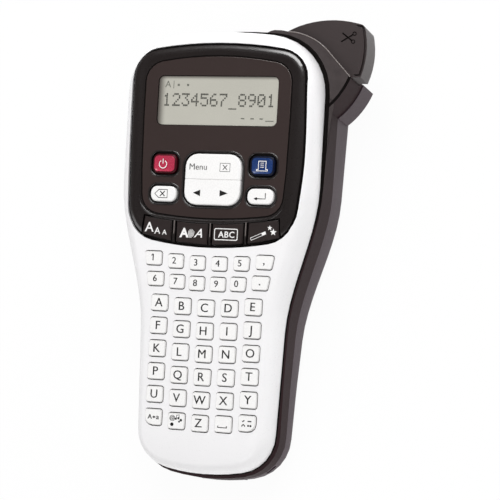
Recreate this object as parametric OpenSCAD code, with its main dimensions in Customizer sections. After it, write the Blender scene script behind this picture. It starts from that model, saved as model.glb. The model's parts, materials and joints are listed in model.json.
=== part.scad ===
// Handheld label maker: a tilted keyboard face on a flat-backed, waisted body.
// The part lies on its back: X to the right, Y towards the display head, Z up.
// The face frame lies in the keyboard face, with its origin at the first letter row.

/* [Body outline] */
// Width of the display head across the shell rim
head_width = 90; // [86:0.5:94]
// Width of the grip just below the waist
grip_width = 65.2; // [64:0.2:70]
// Width of the grip at its lower end
grip_end_width = 62.2; // [61:0.2:66]
// First letter row to the top edge of the shell
top_reach = 122.4; // [121:0.2:126]
// First letter row to the bottom edge of the shell
bottom_reach = 72.4; // [70:0.2:78]
// Corner radius of the display head
head_corner_r = 26; // [22:0.5:29]
// Radius of the crown along the top edge
head_crown_r = 200; // [150:5:300]
// Corner radius of the grip end
end_corner_r = 17.6; // [14:0.2:20]
// Radius of the crown along the bottom edge
end_crown_r = 85; // [70:1:120]
// Where the waist curve leaves the head, above the first letter row
waist_top = 55; // [50:1:60]
// Where the waist curve reaches the grip, below the first letter row
waist_bottom = 11; // [8:1:16]

/* [Body depth] */
// Tilt of the face against the flat back, in degrees
tilt = 6.5; // [5.5:0.1:7]
// Height of the face over the back at the first letter row
face_height = 42.6; // [41.5:0.1:45]
// How far the white shell wraps down from the face
rim_drop = 13.5; // [12.5:0.1:14]
// Height of the cover seam over the back, at the origin
seam_height = 18.4; // [17.6:0.1:19.2]
// Tilt of the cover seam against the back, in degrees
seam_tilt = 3.6; // [3:0.1:4]
// Wall of the front shell
shell_wall = 2.2; // [1.8:0.1:2.6]
// Wall of the body frame
frame_wall = 2.2; // [1.8:0.1:2.5]
// Wall and floor of the rear cover
cover_wall = 2; // [1.6:0.1:2.4]
// How far the dark body stands out past the white rim
body_proud = 1; // [0.6:0.1:1.4]
// How much further the dark body stands out round its lower end
heel = 0.7; // [0:0.1:0.9]
// Edge radius along the back
back_edge_r = 7; // [5:0.5:8]
// Sideways run of the shell's shoulder
shoulder_run = 5.2; // [4:0.1:5.6]
// Depth of the shell's shoulder
shoulder_drop = 11.5; // [9:0.1:12]

/* [Display panel] */
// Half width of the panel at its upper corners
panel_top_half = 40.6; // [39.6:0.1:41]
// Half width of the panel at its lower corners
panel_low_half = 39.4; // [38.8:0.1:40.2]
// Top edge of the panel above the first letter row
panel_top = 116.1; // [115.5:0.1:116.6]
// Bottom edge of the panel above the first letter row
panel_bottom = 27.2; // [26.8:0.1:27.6]
// Thickness of the panel
panel_t = 3; // [2.6:0.1:3.4]
// Width of the display window
window_w = 56; // [50:0.5:58]
// Height of the display window
window_h = 21.9; // [18:0.1:22.5]
// Centre of the window below the top edge of the panel
window_drop = 25.4; // [24.6:0.1:26.6]
// Thickness of the display lens
lens_t = 1.2; // [0.8:0.1:1.4]

/* [Keys] */
// Width of a letter cap
cap_w = 7.8; // [7.4:0.1:8.3]
// Height of a letter cap
cap_h = 7.3; // [6.9:0.1:7.8]
// Column pitch of the letter keys
col_pitch = 10.9; // [10.6:0.1:11]
// Row pitch of the letter keys
row_pitch = 10; // [9.8:0.05:10.2]
// Radius of the arcs that the key rows follow
row_arc_r = 165; // [140:5:260]
// Height of a number cap
digit_h = 6.3; // [5.9:0.1:6.7]
// How far the caps stand out of the face
cap_proud = 0.5; // [0.4:0.1:0.9]
// Travel of the letter and number keys
key_travel = 0.8; // [0.5:0.1:1]
// Gap around a cap in its well
cap_gap = 0.25; // [0.2:0.05:0.35]
// Travel of the function keys on the panel
function_travel = 1; // [0.6:0.1:1.2]
// Width of the cursor pad
pad_w = 26; // [24:0.5:27]
// Height of the cursor pad
pad_h = 22.4; // [21:0.2:23]

/* [Cutter] */
// Radius of the curved front of the cutter nose
nose_r = 35; // [34.5:0.1:35.6]
// Underside of the nose over the back
nose_floor = 8; // [7.4:0.1:8.4]
// Radius of the lever's pin
lever_pin_r = 1.5; // [1.2:0.1:1.8]
// Angle that the lever turns when pressed
lever_swing = 10; // [6:1:11]

/* [Mechanism] */
// Thickness of the tape cassette
cassette_t = 15.4; // [14.8:0.1:15.6]
// Height of the cassette's underside over the back
cassette_z = 8.6; // [8.4:0.1:8.8]
// Width of the tape
tape_w = 12; // [9:0.5:12]
// Radius of a battery cell
cell_r = 5.25; // [5:0.05:5.3]
// Length of a battery cell
cell_len = 44.5; // [43.5:0.5:45]
// Pitch of the cells
cell_pitch = 11; // [10.8:0.1:11.2]

/* [Hidden] */
$fn = 48;

face_y = -26;                // row Y of the face frame's origin
slip = 0.2;                  // gap between parts that are fitted together
run_gap = 0.05;              // radial running clearance on shafts
seat_gap = 0.3;              // gap between a moving part and its seat
big = 400;

// ---- outlines ----

head_half = head_width / 2;
grip_half = grip_width / 2;
end_half = grip_end_width / 2;

function smooth(t) = t * t * (3 - 2 * t);
function reversed(p) = [for (i = [len(p) - 1 : -1 : 0]) p[i]];
function flip_x(p) = [for (q = p) [-q.x, q.y]];
function flip_y(p) = [for (q = p) [q.x, -q.y]];
// clockwise quarter circle that starts at the angle a
function quarter(o, r, a, n = 3) = [for (i = [0 : n]) o + r * [cos(a - 90 * i / n), sin(a - 90 * i / n)]];
// closes a right-hand half, listed from the top centre to the bottom centre
function both_halves(h) = concat(h, [for (i = [len(h) - 2 : -1 : 1]) [-h[i].x, h[i].y]]);
// arc of n steps through three points
function arc3(a, b, c, n) =
    let (d = 2 * (a.x * (b.y - c.y) + b.x * (c.y - a.y) + c.x * (a.y - b.y)),
         ux = ((a * a) * (b.y - c.y) + (b * b) * (c.y - a.y) + (c * c) * (a.y - b.y)) / d,
         uy = ((a * a) * (c.x - b.x) + (b * b) * (a.x - c.x) + (c * c) * (b.x - a.x)) / d,
         o = [ux, uy], r = norm(a - o),
         t0 = atan2(a.y - uy, a.x - ux), tb = atan2(b.y - uy, b.x - ux), tc = atan2(c.y - uy, c.x - ux),
         sb = (tb - t0 + 720) % 360, sc = (tc - t0 + 720) % 360,
         sweep = sb < sc ? sc : sc - 360)
    [for (i = [0 : n]) let (t = t0 + sweep * i / n) o + r * [cos(t), sin(t)]];
// crown and corner from the centre line to the side, for a top edge at y
function crown(y, crown_r, corner_r, half, n1, n2) =
    let (x = half - corner_r, drop = sqrt(pow(crown_r - corner_r, 2) - x * x),
         yc = y - crown_r + drop, a = atan2(drop, x))
    concat([for (i = [0 : n1]) let (t = 90 - (90 - a) * i / n1)
                [crown_r * cos(t), y - crown_r + crown_r * sin(t)]],
           [for (i = [1 : n2]) let (t = a - a * i / n2) [x + corner_r * cos(t), yc + corner_r * sin(t)]]);
function corner_y(y, crown_r, corner_r, half) =
    y - crown_r + sqrt(pow(crown_r - corner_r, 2) - pow(half - corner_r, 2));
// moves each point of a clockwise loop inwards by d
function inset(p, d) = [for (i = [0 : len(p) - 1])
    let (a = p[(i + len(p) - 1) % len(p)], b = p[(i + 1) % len(p)], t = (b - a) / norm(b - a))
    p[i] + d * [t.y, -t.x]];

side_low = -corner_y(bottom_reach, end_crown_r, end_corner_r, end_half);
side_high = corner_y(top_reach, head_crown_r, head_corner_r, head_half);
// half width of the body along the sides
function side_half(y) = y > waist_top ? head_half
    : y > -waist_bottom ? grip_half + (head_half - grip_half) * smooth((y + waist_bottom) / (waist_top + waist_bottom))
    : end_half + (grip_half - end_half) * (y - side_low) / (-waist_bottom - side_low);
side_steps = 16;
body_half = concat(
    crown(top_reach, head_crown_r, head_corner_r, head_half, 4, 8),
    [for (i = [0 : side_steps]) let (y = waist_top + (side_low + 6 - waist_top) * i / side_steps) [side_half(y), y]],
    reversed(flip_y(crown(bottom_reach, end_crown_r, end_corner_r, end_half, 3, 6))));
body_outline = both_halves(body_half);
// the same outline in plan, seen square to the back
function plan_y(y) = face_y + y * cos(tilt) + rim_drop * sin(tilt);
body_plan = [for (p = body_outline) [p.x, plan_y(p.y)]];

window_y = panel_top - window_drop;
panel_crown_r = 185;
panel_corner_r = 13;
panel_foot_r = 145;
panel_foot_corner_r = 15;
panel_bulge = 0.4;
panel_corner_y = corner_y(panel_top, panel_crown_r, panel_corner_r, panel_top_half);
panel_low_y = -corner_y(-panel_bottom, panel_foot_r, panel_foot_corner_r, panel_low_half);
panel_mid = [(panel_top_half + panel_low_half) / 2 + panel_bulge, (panel_corner_y + panel_low_y) / 2 + 6];
panel_flank = arc3([panel_top_half, panel_corner_y], panel_mid, [panel_low_half, panel_low_y], 8);
panel_half = concat(
    crown(panel_top, panel_crown_r, panel_corner_r, panel_top_half, 4, 6),
    [for (i = [1 : 7]) panel_flank[i]],
    reversed(flip_y(crown(-panel_bottom, panel_foot_r, panel_foot_corner_r, panel_low_half, 5, 6))));
panel_outline = both_halves(panel_half);

// ---- planes ----

// height of the plane that lies c below the face, over the plan position y
function face_plane(y, c) = face_height + (y - face_y) * tan(tilt) - c / cos(tilt);
function seam_plane(y) = seam_height + y * tan(seam_tilt);

module on_face() translate([0, face_y, face_height]) rotate([tilt, 0, 0]) children();
// everything below the plane c below the face, and everything above the seam raised by c
module under_face(c) on_face() translate([-big / 2, -big / 2, -big - c]) cube(big);
module over_seam(c) translate([0, 0, seam_height + c]) rotate([seam_tilt, 0, 0])
    translate([-big / 2, -big / 2, 0]) cube(big);
module under_seam(c) translate([0, 0, seam_height - c]) rotate([seam_tilt, 0, 0])
    translate([-big / 2, -big / 2, -big]) cube(big);

// closed skin over clockwise rings, listed from the bottom up
module loft(rings) {
    n = len(rings[0]);
    m = len(rings);
    polyhedron(
        points = [for (r = rings) for (p = r) p],
        faces = concat(
            [[for (i = [n - 1 : -1 : 0]) i]],
            [[for (i = [0 : n - 1]) (m - 1) * n + i]],
            [for (k = [0 : m - 2]) for (i = [0 : n - 1]) let (j = (i + 1) % n) [k * n + i, k * n + j, k * n + n + j]],
            [for (k = [0 : m - 2]) for (i = [0 : n - 1]) let (j = (i + 1) % n)
                [k * n + i, k * n + n + j, k * n + n + i]]));
}
function at_z(p, z) = [for (q = p) [q.x, q.y, z]];
module slab(p, z0, z1) translate([0, 0, z0]) linear_extrude(z1 - z0) polygon(p);
// rounded rectangle as a loop, corners r
function pill(w, h, r, n = 4) = let (x = w / 2 - r, y = h / 2 - r)
    [for (q = [0 : 3]) for (i = [0 : n]) let (a = 90 - 90 * q - 90 * i / n,
        c = [[x, y], [x, -y], [-x, -y], [-x, y]][q]) c + r * [cos(a), sin(a)]];
module placed(p, z0, z1, at) translate([at.x, at.y, 0]) slab(p, z0, z1);

// ---- key layout, in the face frame ----

row_1_y = 19.4;
row_2_y = 10.5;
digit_x = [5.1, 15.3, 25.8];
digit_2_x = [4.9, 14.2, 24.4];
digit_w = [7.1, 7.1, 7.7];
digit_lean = [0, 0.1, 0.35];
digit_arc_r = 220;
key_shift = 0.5;             // the key field stands a little to the right
key_drift = 0.05;            // and a little more with each row
cap_corner_r = 1.1;
low_corner_r = 3.6;
cap_depth = 4;
function arc_rise(x, r) = r - sqrt(r * r - x * x);
function letter_at(row, col) = [col * col_pitch + key_shift + (row - 3) * key_drift,
    -(row - 3) * row_pitch + arc_rise(col * col_pitch, row_arc_r)];
// a number cap: its outer side leans with the body's side
function digit_cap(k, side, grow) = let (w = digit_w[k] / 2 + grow, h = digit_h / 2 + grow, l = digit_lean[k],
    c = cap_corner_r + grow, p = concat(quarter([w + l - c, h - c], c, 90), quarter([w - l - c, c - h], c, 0),
        quarter([c - w, c - h], c, -90), quarter([c - w, h - c], c, 180)))
    side > 0 ? p : reversed(flip_x(p));
function digit_at(row, k, side) = let (x = row == 1 ? digit_x[k] : digit_2_x[k])
    [side * x + key_shift, (row == 1 ? row_1_y : row_2_y) + arc_rise(x, digit_arc_r)];
// a letter cap; the outer lower corner of the last row's end keys is rounder
function letter_cap(row, col, grow) = let (w = cap_w / 2 + grow, h = cap_h / 2 + grow, c = cap_corner_r + grow,
    d = row == 8 && col == 2 ? low_corner_r : c, e = row == 8 && col == -2 ? low_corner_r : c)
    concat(quarter([w - c, h - c], c, 90), quarter([w - d, d - h], d, 0),
        quarter([e - w, e - h], e, -90), quarter([c - w, h - c], c, 180));
module cap_row(row, grow, z0, z1) {
    if (row < 3) for (k = [0 : 2]) for (s = [-1, 1]) placed(digit_cap(k, s, grow), z0, z1, digit_at(row, k, s));
    else for (c = [-2 : 2]) placed(letter_cap(row, c, grow), z0, z1, letter_at(row, c));
}

function_depth = 4.2;
function_proud = 0.9;
power_at = [-22.7, 62.6];
print_at = [22.9, 62.6];
clear_at = [-22.5, 49.3];
enter_at = [22.7, 49.3];
pad_at = [0.2, 56.1];
pad_split = 0.2;
style_foot = 28.3;           // lower edge of the four style keys at the centre line
style_head = 37.3;           // upper edge at the centre line
style_head_r = 200;
style_x = [[-31.9, -17.5], [-15.7, -0.5], [1.1, 15.9], [17.6, 32.6]];
style_lean = 0.9;
// a style key: a sector between the foot arc and the head arc
function style_cap(k, grow) = let (a = style_x[k][0], b = style_x[k][1], n = 3,
    la = k == 0 ? style_lean : 0, lb = k == 3 ? style_lean : 0)
    concat([for (i = [0 : n]) let (x = a + la - grow + (b - lb - a - la + 2 * grow) * i / n)
                [x, style_head + arc_rise(x, style_head_r) + grow]],
           [for (i = [n : -1 : 0]) let (x = a - grow + (b - a + 2 * grow) * i / n)
                [x, style_foot + arc_rise(x, panel_foot_r) * 1.08 - grow]]);
moat_w = 0.95;               // dark moat round each function key
moat_depth = 1.3;
module function_well(p, at) {
    placed(inset(p, -cap_gap), -panel_t - 1, 2, at);
    placed(inset(p, -moat_w), -moat_depth, 2, at);
}

// ---- cutter layout, in plan ----

nose_at = [24, 91.2];
nose_wall = 1.8;
nose_from = -50.4;
nose_to = -19.9;
nose_step = 0.5;             // the front half of the nose is this much smaller
lever_at = [52.6, 79.2];
deck_t = 1.4;
lever_z = 26.8;                     // underside of the lever
lever_face = rim_drop + 2.35;        // depth of the lever's top under the keyboard face
lever_wall = 1.8;
sill_z = lever_z - 0.5;
lever_outline = concat(
    arc3([59.8, 78.9], [62, 91.3], [61.2, 98.6], 6),
    arc3([60.9, 100], [60.2, 101.3], [58.6, 102.1], 3),
    arc3([57.4, 102.4], [44, 103.8], [30.4, 101.2], 8),
    arc3([28, 100.2], [24.4, 98.2], [21.8, 95.4], 3),
    [[21.2, 93.6], [23.6, 91.8]],
    arc3([26, 91.6], [34, 90], [40, 87], 3),
    [[39.2, 82.6], [40.4, 80.8], [42.4, 81], [46.4, 81.4]],
    arc3([48.6, 77.6], [51, 76.1], [53.6, 76.8], 3),
    [[55.3, 78.5], [56.8, 78.95]]);
function ring_at(c, r, a0, a1, n) = [for (i = [0 : n]) let (a = a0 + (a1 - a0) * i / n) c + r * [cos(a), sin(a)]];
nose_ring = ring_at(nose_at, nose_r - nose_step, nose_to, nose_from, 8);
seam_line = concat(arc3([26.5, 98.2], [37.4, 95.4], [46.4, 88.4], 6), [nose_ring[0] * 0.8 + nose_ring[1] * 0.2]);
deck_outline = concat([[12, 92]], arc3([14, 95.4], [16.6, 97.8], [20, 98.9], 4), [[23.2, 98.8]], seam_line,
    [for (i = [1 : 8]) nose_ring[i]], [[40, 66], [40, 80], [28, 90]]);
nose_tail = [37.4, 89.6];
nose_head = [56.2, 79.65];
function nose_outline(r) = concat([nose_tail, nose_head], ring_at(nose_at, r, nose_to, nose_from, 8), [[38, 64], [34, 78]]);
nose_hollow = concat([[35.5, 88.4], [54, 78.5]],
    ring_at(nose_at, nose_r - nose_step - nose_wall, nose_to - 3.6, nose_from, 8), [[38, 64], [34, 78]]);

// path of the tape: tangent to the platen, out through the slot in the nose
slot_at = [47.2, 84.6];
slot_w = 2.4;
platen_at = [33, 74];
platen_r = 4;
tape_turn = atan2(slot_at.y - platen_at.y, slot_at.x - platen_at.x) + asin(platen_r / norm(slot_at - platen_at));
tape_dir = [cos(tape_turn), sin(tape_turn)];
tape_side = [sin(tape_turn), -cos(tape_turn)];      // towards the print head and the anvil
cut_at = slot_at - 6 * tape_dir;
tape_z = cassette_z + 1.7;

// ---- front of the case ----

shoulder_steps = 6;
function shoulder(p, run, drop, top) = [for (k = [0 : shoulder_steps])
    let (f = 90 - 90 * k / shoulder_steps) at_z(inset(p, run * (1 - sin(f))), top - drop * (1 - cos(f)))];
grip_screws = [[-24, -57], [24, -57]];
panel_screws = [[-36, 78], [36, 78]];
post_r = 3;
screw_r = 1.25;
ear_top = rim_drop + 1.5;           // depth of the screw ears' upper face
ear_t = 2;
module post(p, z0) translate([p.x, p.y, -ear_top]) difference() {
    cylinder(h = ear_top + z0, r = post_r);
    translate([0, 0, -1]) cylinder(h = 9, r = screw_r);
}

module front_shell() color("#f4f3f3") on_face() {
    difference() {
        loft(concat([at_z(body_outline, -rim_drop)], shoulder(body_outline, shoulder_run, shoulder_drop, 0)));
        loft(concat([at_z(inset(body_outline, shell_wall), -rim_drop - 1)],
            shoulder(inset(body_outline, shell_wall), shoulder_run - 1, shoulder_drop - shell_wall, -shell_wall)));
        slab(inset(panel_outline, -slip), -panel_t - 0.05, 3);
        slab(inset(panel_outline, 2.4), -shell_wall * 4, 3);
        for (row = [1 : 8]) cap_row(row, cap_gap, -shell_wall - 1, 1);
    }
    for (p = grip_screws) post(p, -shell_wall + 0.4);
}

inner_half = concat(crown(panel_top - 5.3, 150, 9.5, 34.5, 4, 5), [[34.5, 85], [34, 60]],
    reversed(flip_y(crown(-panel_bottom - 11.5, 190, 9, 33.3, 5, 5))));
inner_panel = both_halves(inner_half);
lens_outline = pill(window_w, window_h, 2.5);
lens_sunk = 1.3;
function key_shape(k) = k == "power" ? pill(11.2, 8.6, 2.6) : pill(12, 6.8, 2.8);

module bezel_frame() color("#3b3230") on_face() {
    difference() {
        // pillowed rim that rises round the flat inner panel
        loft(concat([at_z(panel_outline, -panel_t)],
            [for (q = [[0, -1.7], [0.35, -0.8], [0.9, -0.15], [1.7, 0.3], [2.8, 0.5], [4, 0.45], [5.1, 0.25]])
                at_z(inset(panel_outline, q[0]), q[1])]));
        slab(inner_panel, 0, 2);
        placed(inset(lens_outline, -slip / 2), -lens_t - lens_sunk, 2, [0, window_y]);
        placed(inset(lens_outline, 1), -panel_t - 1, 2, [0, window_y]);
        function_well(key_shape("power"), power_at);
        function_well(key_shape("power"), print_at);
        function_well(key_shape("clear"), clear_at);
        function_well(key_shape("clear"), enter_at);
        function_well(pill(pad_w, pad_h, 5.5), pad_at);
        for (k = [0 : 3]) slab(style_cap(k, cap_gap + 0.1), -panel_t - 1, 2);
    }
    for (p = panel_screws) post(p, -panel_t + 0.4);
}

module display_lens() color("#bdbcb2") on_face()
    placed(inset(lens_outline, slip / 2), -lens_t - lens_sunk, -lens_sunk, [0, window_y]);

module lcd_module() color("#9aa39a") on_face()
    translate([-window_w / 2 - 1, window_y - window_h / 2 - 1, -panel_t - 3])
        cube([window_w + 2, window_h + 2, 3 - slip]);

board_top = -8;
board_t = 1.6;
module post_holes(z0, z1, r) for (p = concat(grip_screws, panel_screws))
    translate([p.x, p.y, z0]) cylinder(h = z1 - z0, r = r);
module main_board() color("#2f6b3c") on_face() difference() {
    union() {
        translate([-26, -61, board_top - board_t]) cube([52, 97, board_t]);
        translate([-33, 34, board_top - board_t]) cube([66, 74, board_t]);
    }
    post_holes(board_top - board_t - 1, board_top + 1, post_r + seat_gap);
}

// rubber mat with a dome under each cap
mat_t = 1;
mat_z = board_top + 0.2;
dome_top = -cap_depth - key_travel - 0.2;
module dome(at) translate([at.x, at.y, mat_z + mat_t - 0.1])
    cylinder(h = dome_top - mat_z - mat_t + 0.1, r1 = 2.8, r2 = 2);
module function_dome(at) translate([at.x, at.y, mat_z])
    cylinder(h = -function_depth - function_travel - 0.2 - mat_z, r1 = 2.6, r2 = 1.8);
module key_mat() color("#8f9292") on_face() {
    difference() {
        union() {
            translate([-25.5, -60, mat_z]) cube([51, 90, mat_t]);
            translate([-31, 29, mat_z]) cube([62, 41, mat_t]);
        }
        post_holes(mat_z - 1, mat_z + mat_t + 1, post_r + seat_gap);
    }
    for (row = [1 : 2]) for (k = [0 : 2]) for (s = [-1, 1]) dome(digit_at(row, k, s));
    for (row = [3 : 8]) for (c = [-2 : 2]) dome(letter_at(row, c));
    for (p = [power_at, print_at, clear_at, enter_at, pad_at + [0, 6], pad_at - [0, 6]]) function_dome(p);
    for (x = style_x) function_dome([(x[0] + x[1]) / 2, style_foot + 4.5]);
}

module cap(p, at, proud, depth, draft) {
    translate([at.x, at.y, 0]) loft([at_z(p, -depth), at_z(p, proud - 0.7),
        at_z(inset(p, draft * 0.35), proud - 0.25), at_z(inset(p, draft), proud)]);
    placed(inset(p, -0.7), -depth, -panel_t - slip, at);
}
module power_key() color("#c23a55") on_face() cap(key_shape("power"), power_at, function_proud, function_depth, 0.8);
module print_key() color("#2e4a86") on_face() cap(key_shape("power"), print_at, function_proud, function_depth, 0.8);
module clear_key() color("white") on_face() cap(key_shape("clear"), clear_at, function_proud, function_depth, 0.45);
module enter_key() color("white") on_face() cap(key_shape("clear"), enter_at, function_proud, function_depth, 0.45);
// the cursor pad is split into an upper and a lower rocker
module pad_half(side) on_face() intersection() {
    cap(pill(pad_w, pad_h, 5.5), pad_at, function_proud, function_depth, 0.45);
    translate([-big / 2, side > 0 ? pad_at.y + pad_split / 2 : pad_at.y - pad_split / 2 - big, -big / 2]) cube(big);
}
module menu_key() color("white") pad_half(1);
module cursor_key() color("white") pad_half(-1);
module style_key_cap(k) color("#332b2a") on_face() {
    slab(style_cap(k, 0), -function_depth, 0.1);
    slab(inset(style_cap(k, 0), 0.4), 0.1, 0.4);
    slab(style_cap(k, 0.5), -function_depth, -panel_t - slip);
}
module size_key() style_key_cap(0);
module style_key() style_key_cap(1);
module frame_key() style_key_cap(2);
module deco_key() style_key_cap(3);

module key_row(row) color("white") on_face() {
    cap_row(row, 0, -cap_depth, cap_proud - 0.3);
    cap_row(row, -0.3, cap_proud - 0.3, cap_proud);
    cap_row(row, 0.45, -cap_depth, 0.6 - cap_depth);
}

// ---- dark body ----

frame_gap = 0.2;
rim_round = 1.1;
lip_h = 2.6;
// the dark body's outline, which swells round its lower end
body_out = [for (i = [0 : len(body_plan) - 1])
    let (n = len(body_plan), a = body_plan[(i + n - 1) % n], b = body_plan[(i + 1) % n], t = (b - a) / norm(b - a),
         d = body_proud + heel * smooth(max(0, min(1, (-48 - body_plan[i].y) / 40))))
    body_plan[i] - d * [t.y, -t.x]];
body_in = inset(body_plan, frame_wall - body_proud);
function on_plane(p, c) = [for (q = p) [q.x, q.y, face_plane(q.y, c)]];
module body_hollow() loft([at_z(body_in, 0), at_z(body_in, 80)]);
module lever_swept(gap) for (a = [0, 0.5, 1]) translate(lever_at) rotate(lever_swing * a) translate(-lever_at)
    offset(delta = gap) polygon(lever_outline);
module lever_slot() intersection() {
    translate([0, 0, sill_z]) linear_extrude(40) lever_swept(0.5);
    under_face(rim_drop + frame_gap + deck_t);
}
// ear that carries a screw, from the body wall at x = wall to the screw at p
module ear(p, wall) difference() {
    translate([0, 0, -ear_top - ear_t]) linear_extrude(ear_t - slip) hull() {
        translate(p) circle(r = post_r + 0.5, $fn = 24);
        translate([wall - 0.4, p.y - 5]) square([0.8, 10]);
    }
    translate([p.x, p.y, -ear_top - ear_t - 1]) cylinder(h = ear_t + 2, r = screw_r + 0.15);
}

module body_frame() color("#3a3132") {
    difference() {
        union() {
            loft([[for (q = body_out) [q.x, q.y, seam_plane(q.y)]],
                on_plane(body_out, rim_drop + frame_gap + rim_round), on_plane(inset(body_plan, -0.1), rim_drop + frame_gap)]);
            // deck over the lever, and the front half of the nose
            intersection() {
                union() {
                    slab(deck_outline, sill_z - 1, 60);
                    slab(nose_outline(nose_r - nose_step), 0, sill_z);
                }
                under_face(rim_drop + frame_gap);
                over_seam(0);
            }
            // outer knuckles of the back's hinge
            intersection() {
                for (s = [-1, 1]) hinge_roll(hinge_r, s * (hinge_x[0] + 0.3), s * hinge_x[1]);
                slab(inset(body_out, 0.03), 0, 60);
            }
        }
        difference() {
            union() {
                body_hollow();
                intersection() {
                    slab(nose_hollow, 0, 60);
                    under_face(rim_drop + frame_gap + deck_t);
                }
            }
            // boss under the lever's pin
            translate([lever_at.x, lever_at.y, 0]) cylinder(h = sill_z, r = 3.1);
        }
        lever_slot();
        hinge_roll(hinge_r + 0.5, -hinge_x[0] - 0.2, hinge_x[0] + 0.2);
        for (s = [-1, 1]) hinge_roll(hinge_pin_r + 0.02, s * (hinge_x[0] + 0.1), s * (hinge_pin_x + 0.2));
        translate([lever_at.x, lever_at.y, 0]) cylinder(h = pin_top, r = lever_pin_r + 0.02);
    }
    // lip inside the shell's rim
    difference() {
        loft([on_plane(inset(body_plan, 0.8), rim_drop + 3.4), on_plane(inset(body_plan, 0.8), rim_drop + 0.4),
            on_plane(inset(body_plan, shell_wall + slip), rim_drop + 0.4),
            on_plane([for (q = inset(body_plan, shell_wall + slip)) q - [0, (lip_h + 0.4) * sin(tilt)]], rim_drop - lip_h)]);
        loft([at_z(inset(body_plan, shell_wall + 1.4), 0), at_z(inset(body_plan, shell_wall + 1.4), 80)]);
        translate([6, 66, 0]) cube([60, 60, 80]);
        on_face() for (q = grip_screws) translate([q.x, q.y, -30]) cylinder(h = 40, r = post_r + seat_gap);
    }
    on_face() for (s = [-1, 1]) {
        ear([s * 36, 78], s * (head_half - 1));
        ear([s * 24, -57], s * (end_half - 1.4));
    }
}

// hinge across the lower end, half sunk in the end walls at the seam
hinge_r = 1;
hinge_pin_r = 0.5;
hinge_x = [5, 12.6];                // inner knuckle, outer knuckles
hinge_pin_x = 7.4;
hinge_y = plan_y(-bottom_reach) - body_proud - heel + hinge_r;
hinge_z = seam_plane(hinge_y) - slip / 2;
module hinge_roll(r, x0, x1) translate([min(x0, x1), hinge_y, hinge_z]) rotate([0, 90, 0]) cylinder(h = abs(x1 - x0), r = r);
module hinge_pin() color("#b8b8bc") hinge_roll(hinge_pin_r, -hinge_pin_x, hinge_pin_x);

module cover_shape(p, floor_z, r) loft(concat([for (k = [0 : 5]) let (f = 90 * k / 5)
    at_z(inset(p, r * (1 - sin(f))), floor_z + r * (1 - cos(f)))], [at_z(p, 40)]));
module rear_cover() color("#5d5659") {
    difference() {
        union() {
            difference() {
                intersection() {
                    union() {
                        cover_shape(body_out, 0, back_edge_r);
                        slab(nose_outline(nose_r), nose_floor, 40);
                    }
                    under_seam(slip);
                }
                cover_shape(inset(body_out, cover_wall), cover_wall, back_edge_r - cover_wall);
                slab(nose_hollow, nose_floor + nose_wall, 41);
            }
            // thicker end wall behind the hinge, and its inner knuckle
            intersection() {
                translate([-14, hinge_y, 6]) cube([28, 2.6, 20]);
                under_seam(slip);
            }
            hinge_roll(hinge_r, -hinge_x[0], hinge_x[0]);
        }
        hinge_roll(hinge_pin_r + run_gap, -hinge_x[0] - 1, hinge_x[0] + 1);
        for (s = [-1, 1]) hinge_roll(hinge_r + 0.3, s * (hinge_x[0] + 0.1), s * (hinge_x[1] + 0.4));
        // label slot through the end wall of the nose
        translate([slot_at.x, slot_at.y, nose_floor + nose_wall + 0.2]) rotate(tape_turn - 90)
            translate([-slot_w / 2, -4, 0]) cube([slot_w, 8, 40]);
        // strap notch at the lower end
        translate([notch_at.x, notch_at.y, seam_plane(notch_at.y) - 3.4]) rotate(43)
            translate([-2.6, -2, 0]) cube([5.2, 3.3, 2]);
    }
    // ribs under the cassette, and tongues that locate the free end
    for (x = [-22, 10]) translate([x, 28, cover_wall - 0.2]) cube([1.4, 30, cassette_z - cover_wall - seat_gap + 0.2]);
    for (x = [-16, 6]) {
        translate([x, tongue_y, 14]) cube([8, 2.6, seam_plane(tongue_y) - 14.6]);
        translate([x, tongue_y, 14]) cube([8, 1.2, seam_plane(tongue_y) - 12.6]);
    }
}
tongue_y = 93.7;
notch_at = [26.6, -92.5];

// dark groove along the outer edge of the lever's top
module lever_groove() difference() {
    translate([0, 0, lever_z]) linear_extrude(30) intersection() {
        difference() {
            offset(delta = -0.35) polygon(lever_outline);
            offset(delta = -1.3) polygon(lever_outline);
        }
        translate([56.8, 79.6]) square([10, 22]);
    }
    under_face(lever_face + 1.3);
}
module cutter_lever() color("#6b686c") difference() {
    intersection() {
        translate([0, 0, lever_z]) linear_extrude(30) polygon(lever_outline);
        under_face(lever_face);
    }
    lever_groove();
    // hollow underside, away from the pin and the carrier
    difference() {
        intersection() {
            translate([0, 0, lever_z - 1]) linear_extrude(30) offset(delta = -lever_wall) polygon(lever_outline);
            under_face(lever_face + lever_wall);
        }
        translate([lever_at.x, lever_at.y, 0]) cylinder(h = 60, r = 4.6);
        translate([37, 79, 0]) cube([7, 9, 60]);
    }
    translate([lever_at.x, lever_at.y, 0]) cylinder(h = 60, r = lever_pin_r + run_gap);
    translate([lever_at.x, lever_at.y, 0]) cylinder(h = lever_z + spring_h + 0.6, r = spring_r + 0.8);
}

pin_top = face_plane(lever_at.y, rim_drop + frame_gap + deck_t) + 0.7;
module lever_pin() color("#b8b8bc") translate([lever_at.x, lever_at.y, seam_plane(lever_at.y) + 0.4])
    cylinder(h = pin_top - 0.2 - seam_plane(lever_at.y) - 0.4, r = lever_pin_r);

spring_r = 2.2;
spring_wire = 0.3;
spring_h = 3;
module lever_spring() color("#c9c9cd") translate([lever_at.x, lever_at.y, sill_z + spring_wire])
    for (i = [0 : 4]) translate([0, 0, i * (spring_wire * 2)])
        rotate_extrude() translate([spring_r, 0]) circle(r = spring_wire, $fn = 16);

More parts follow.
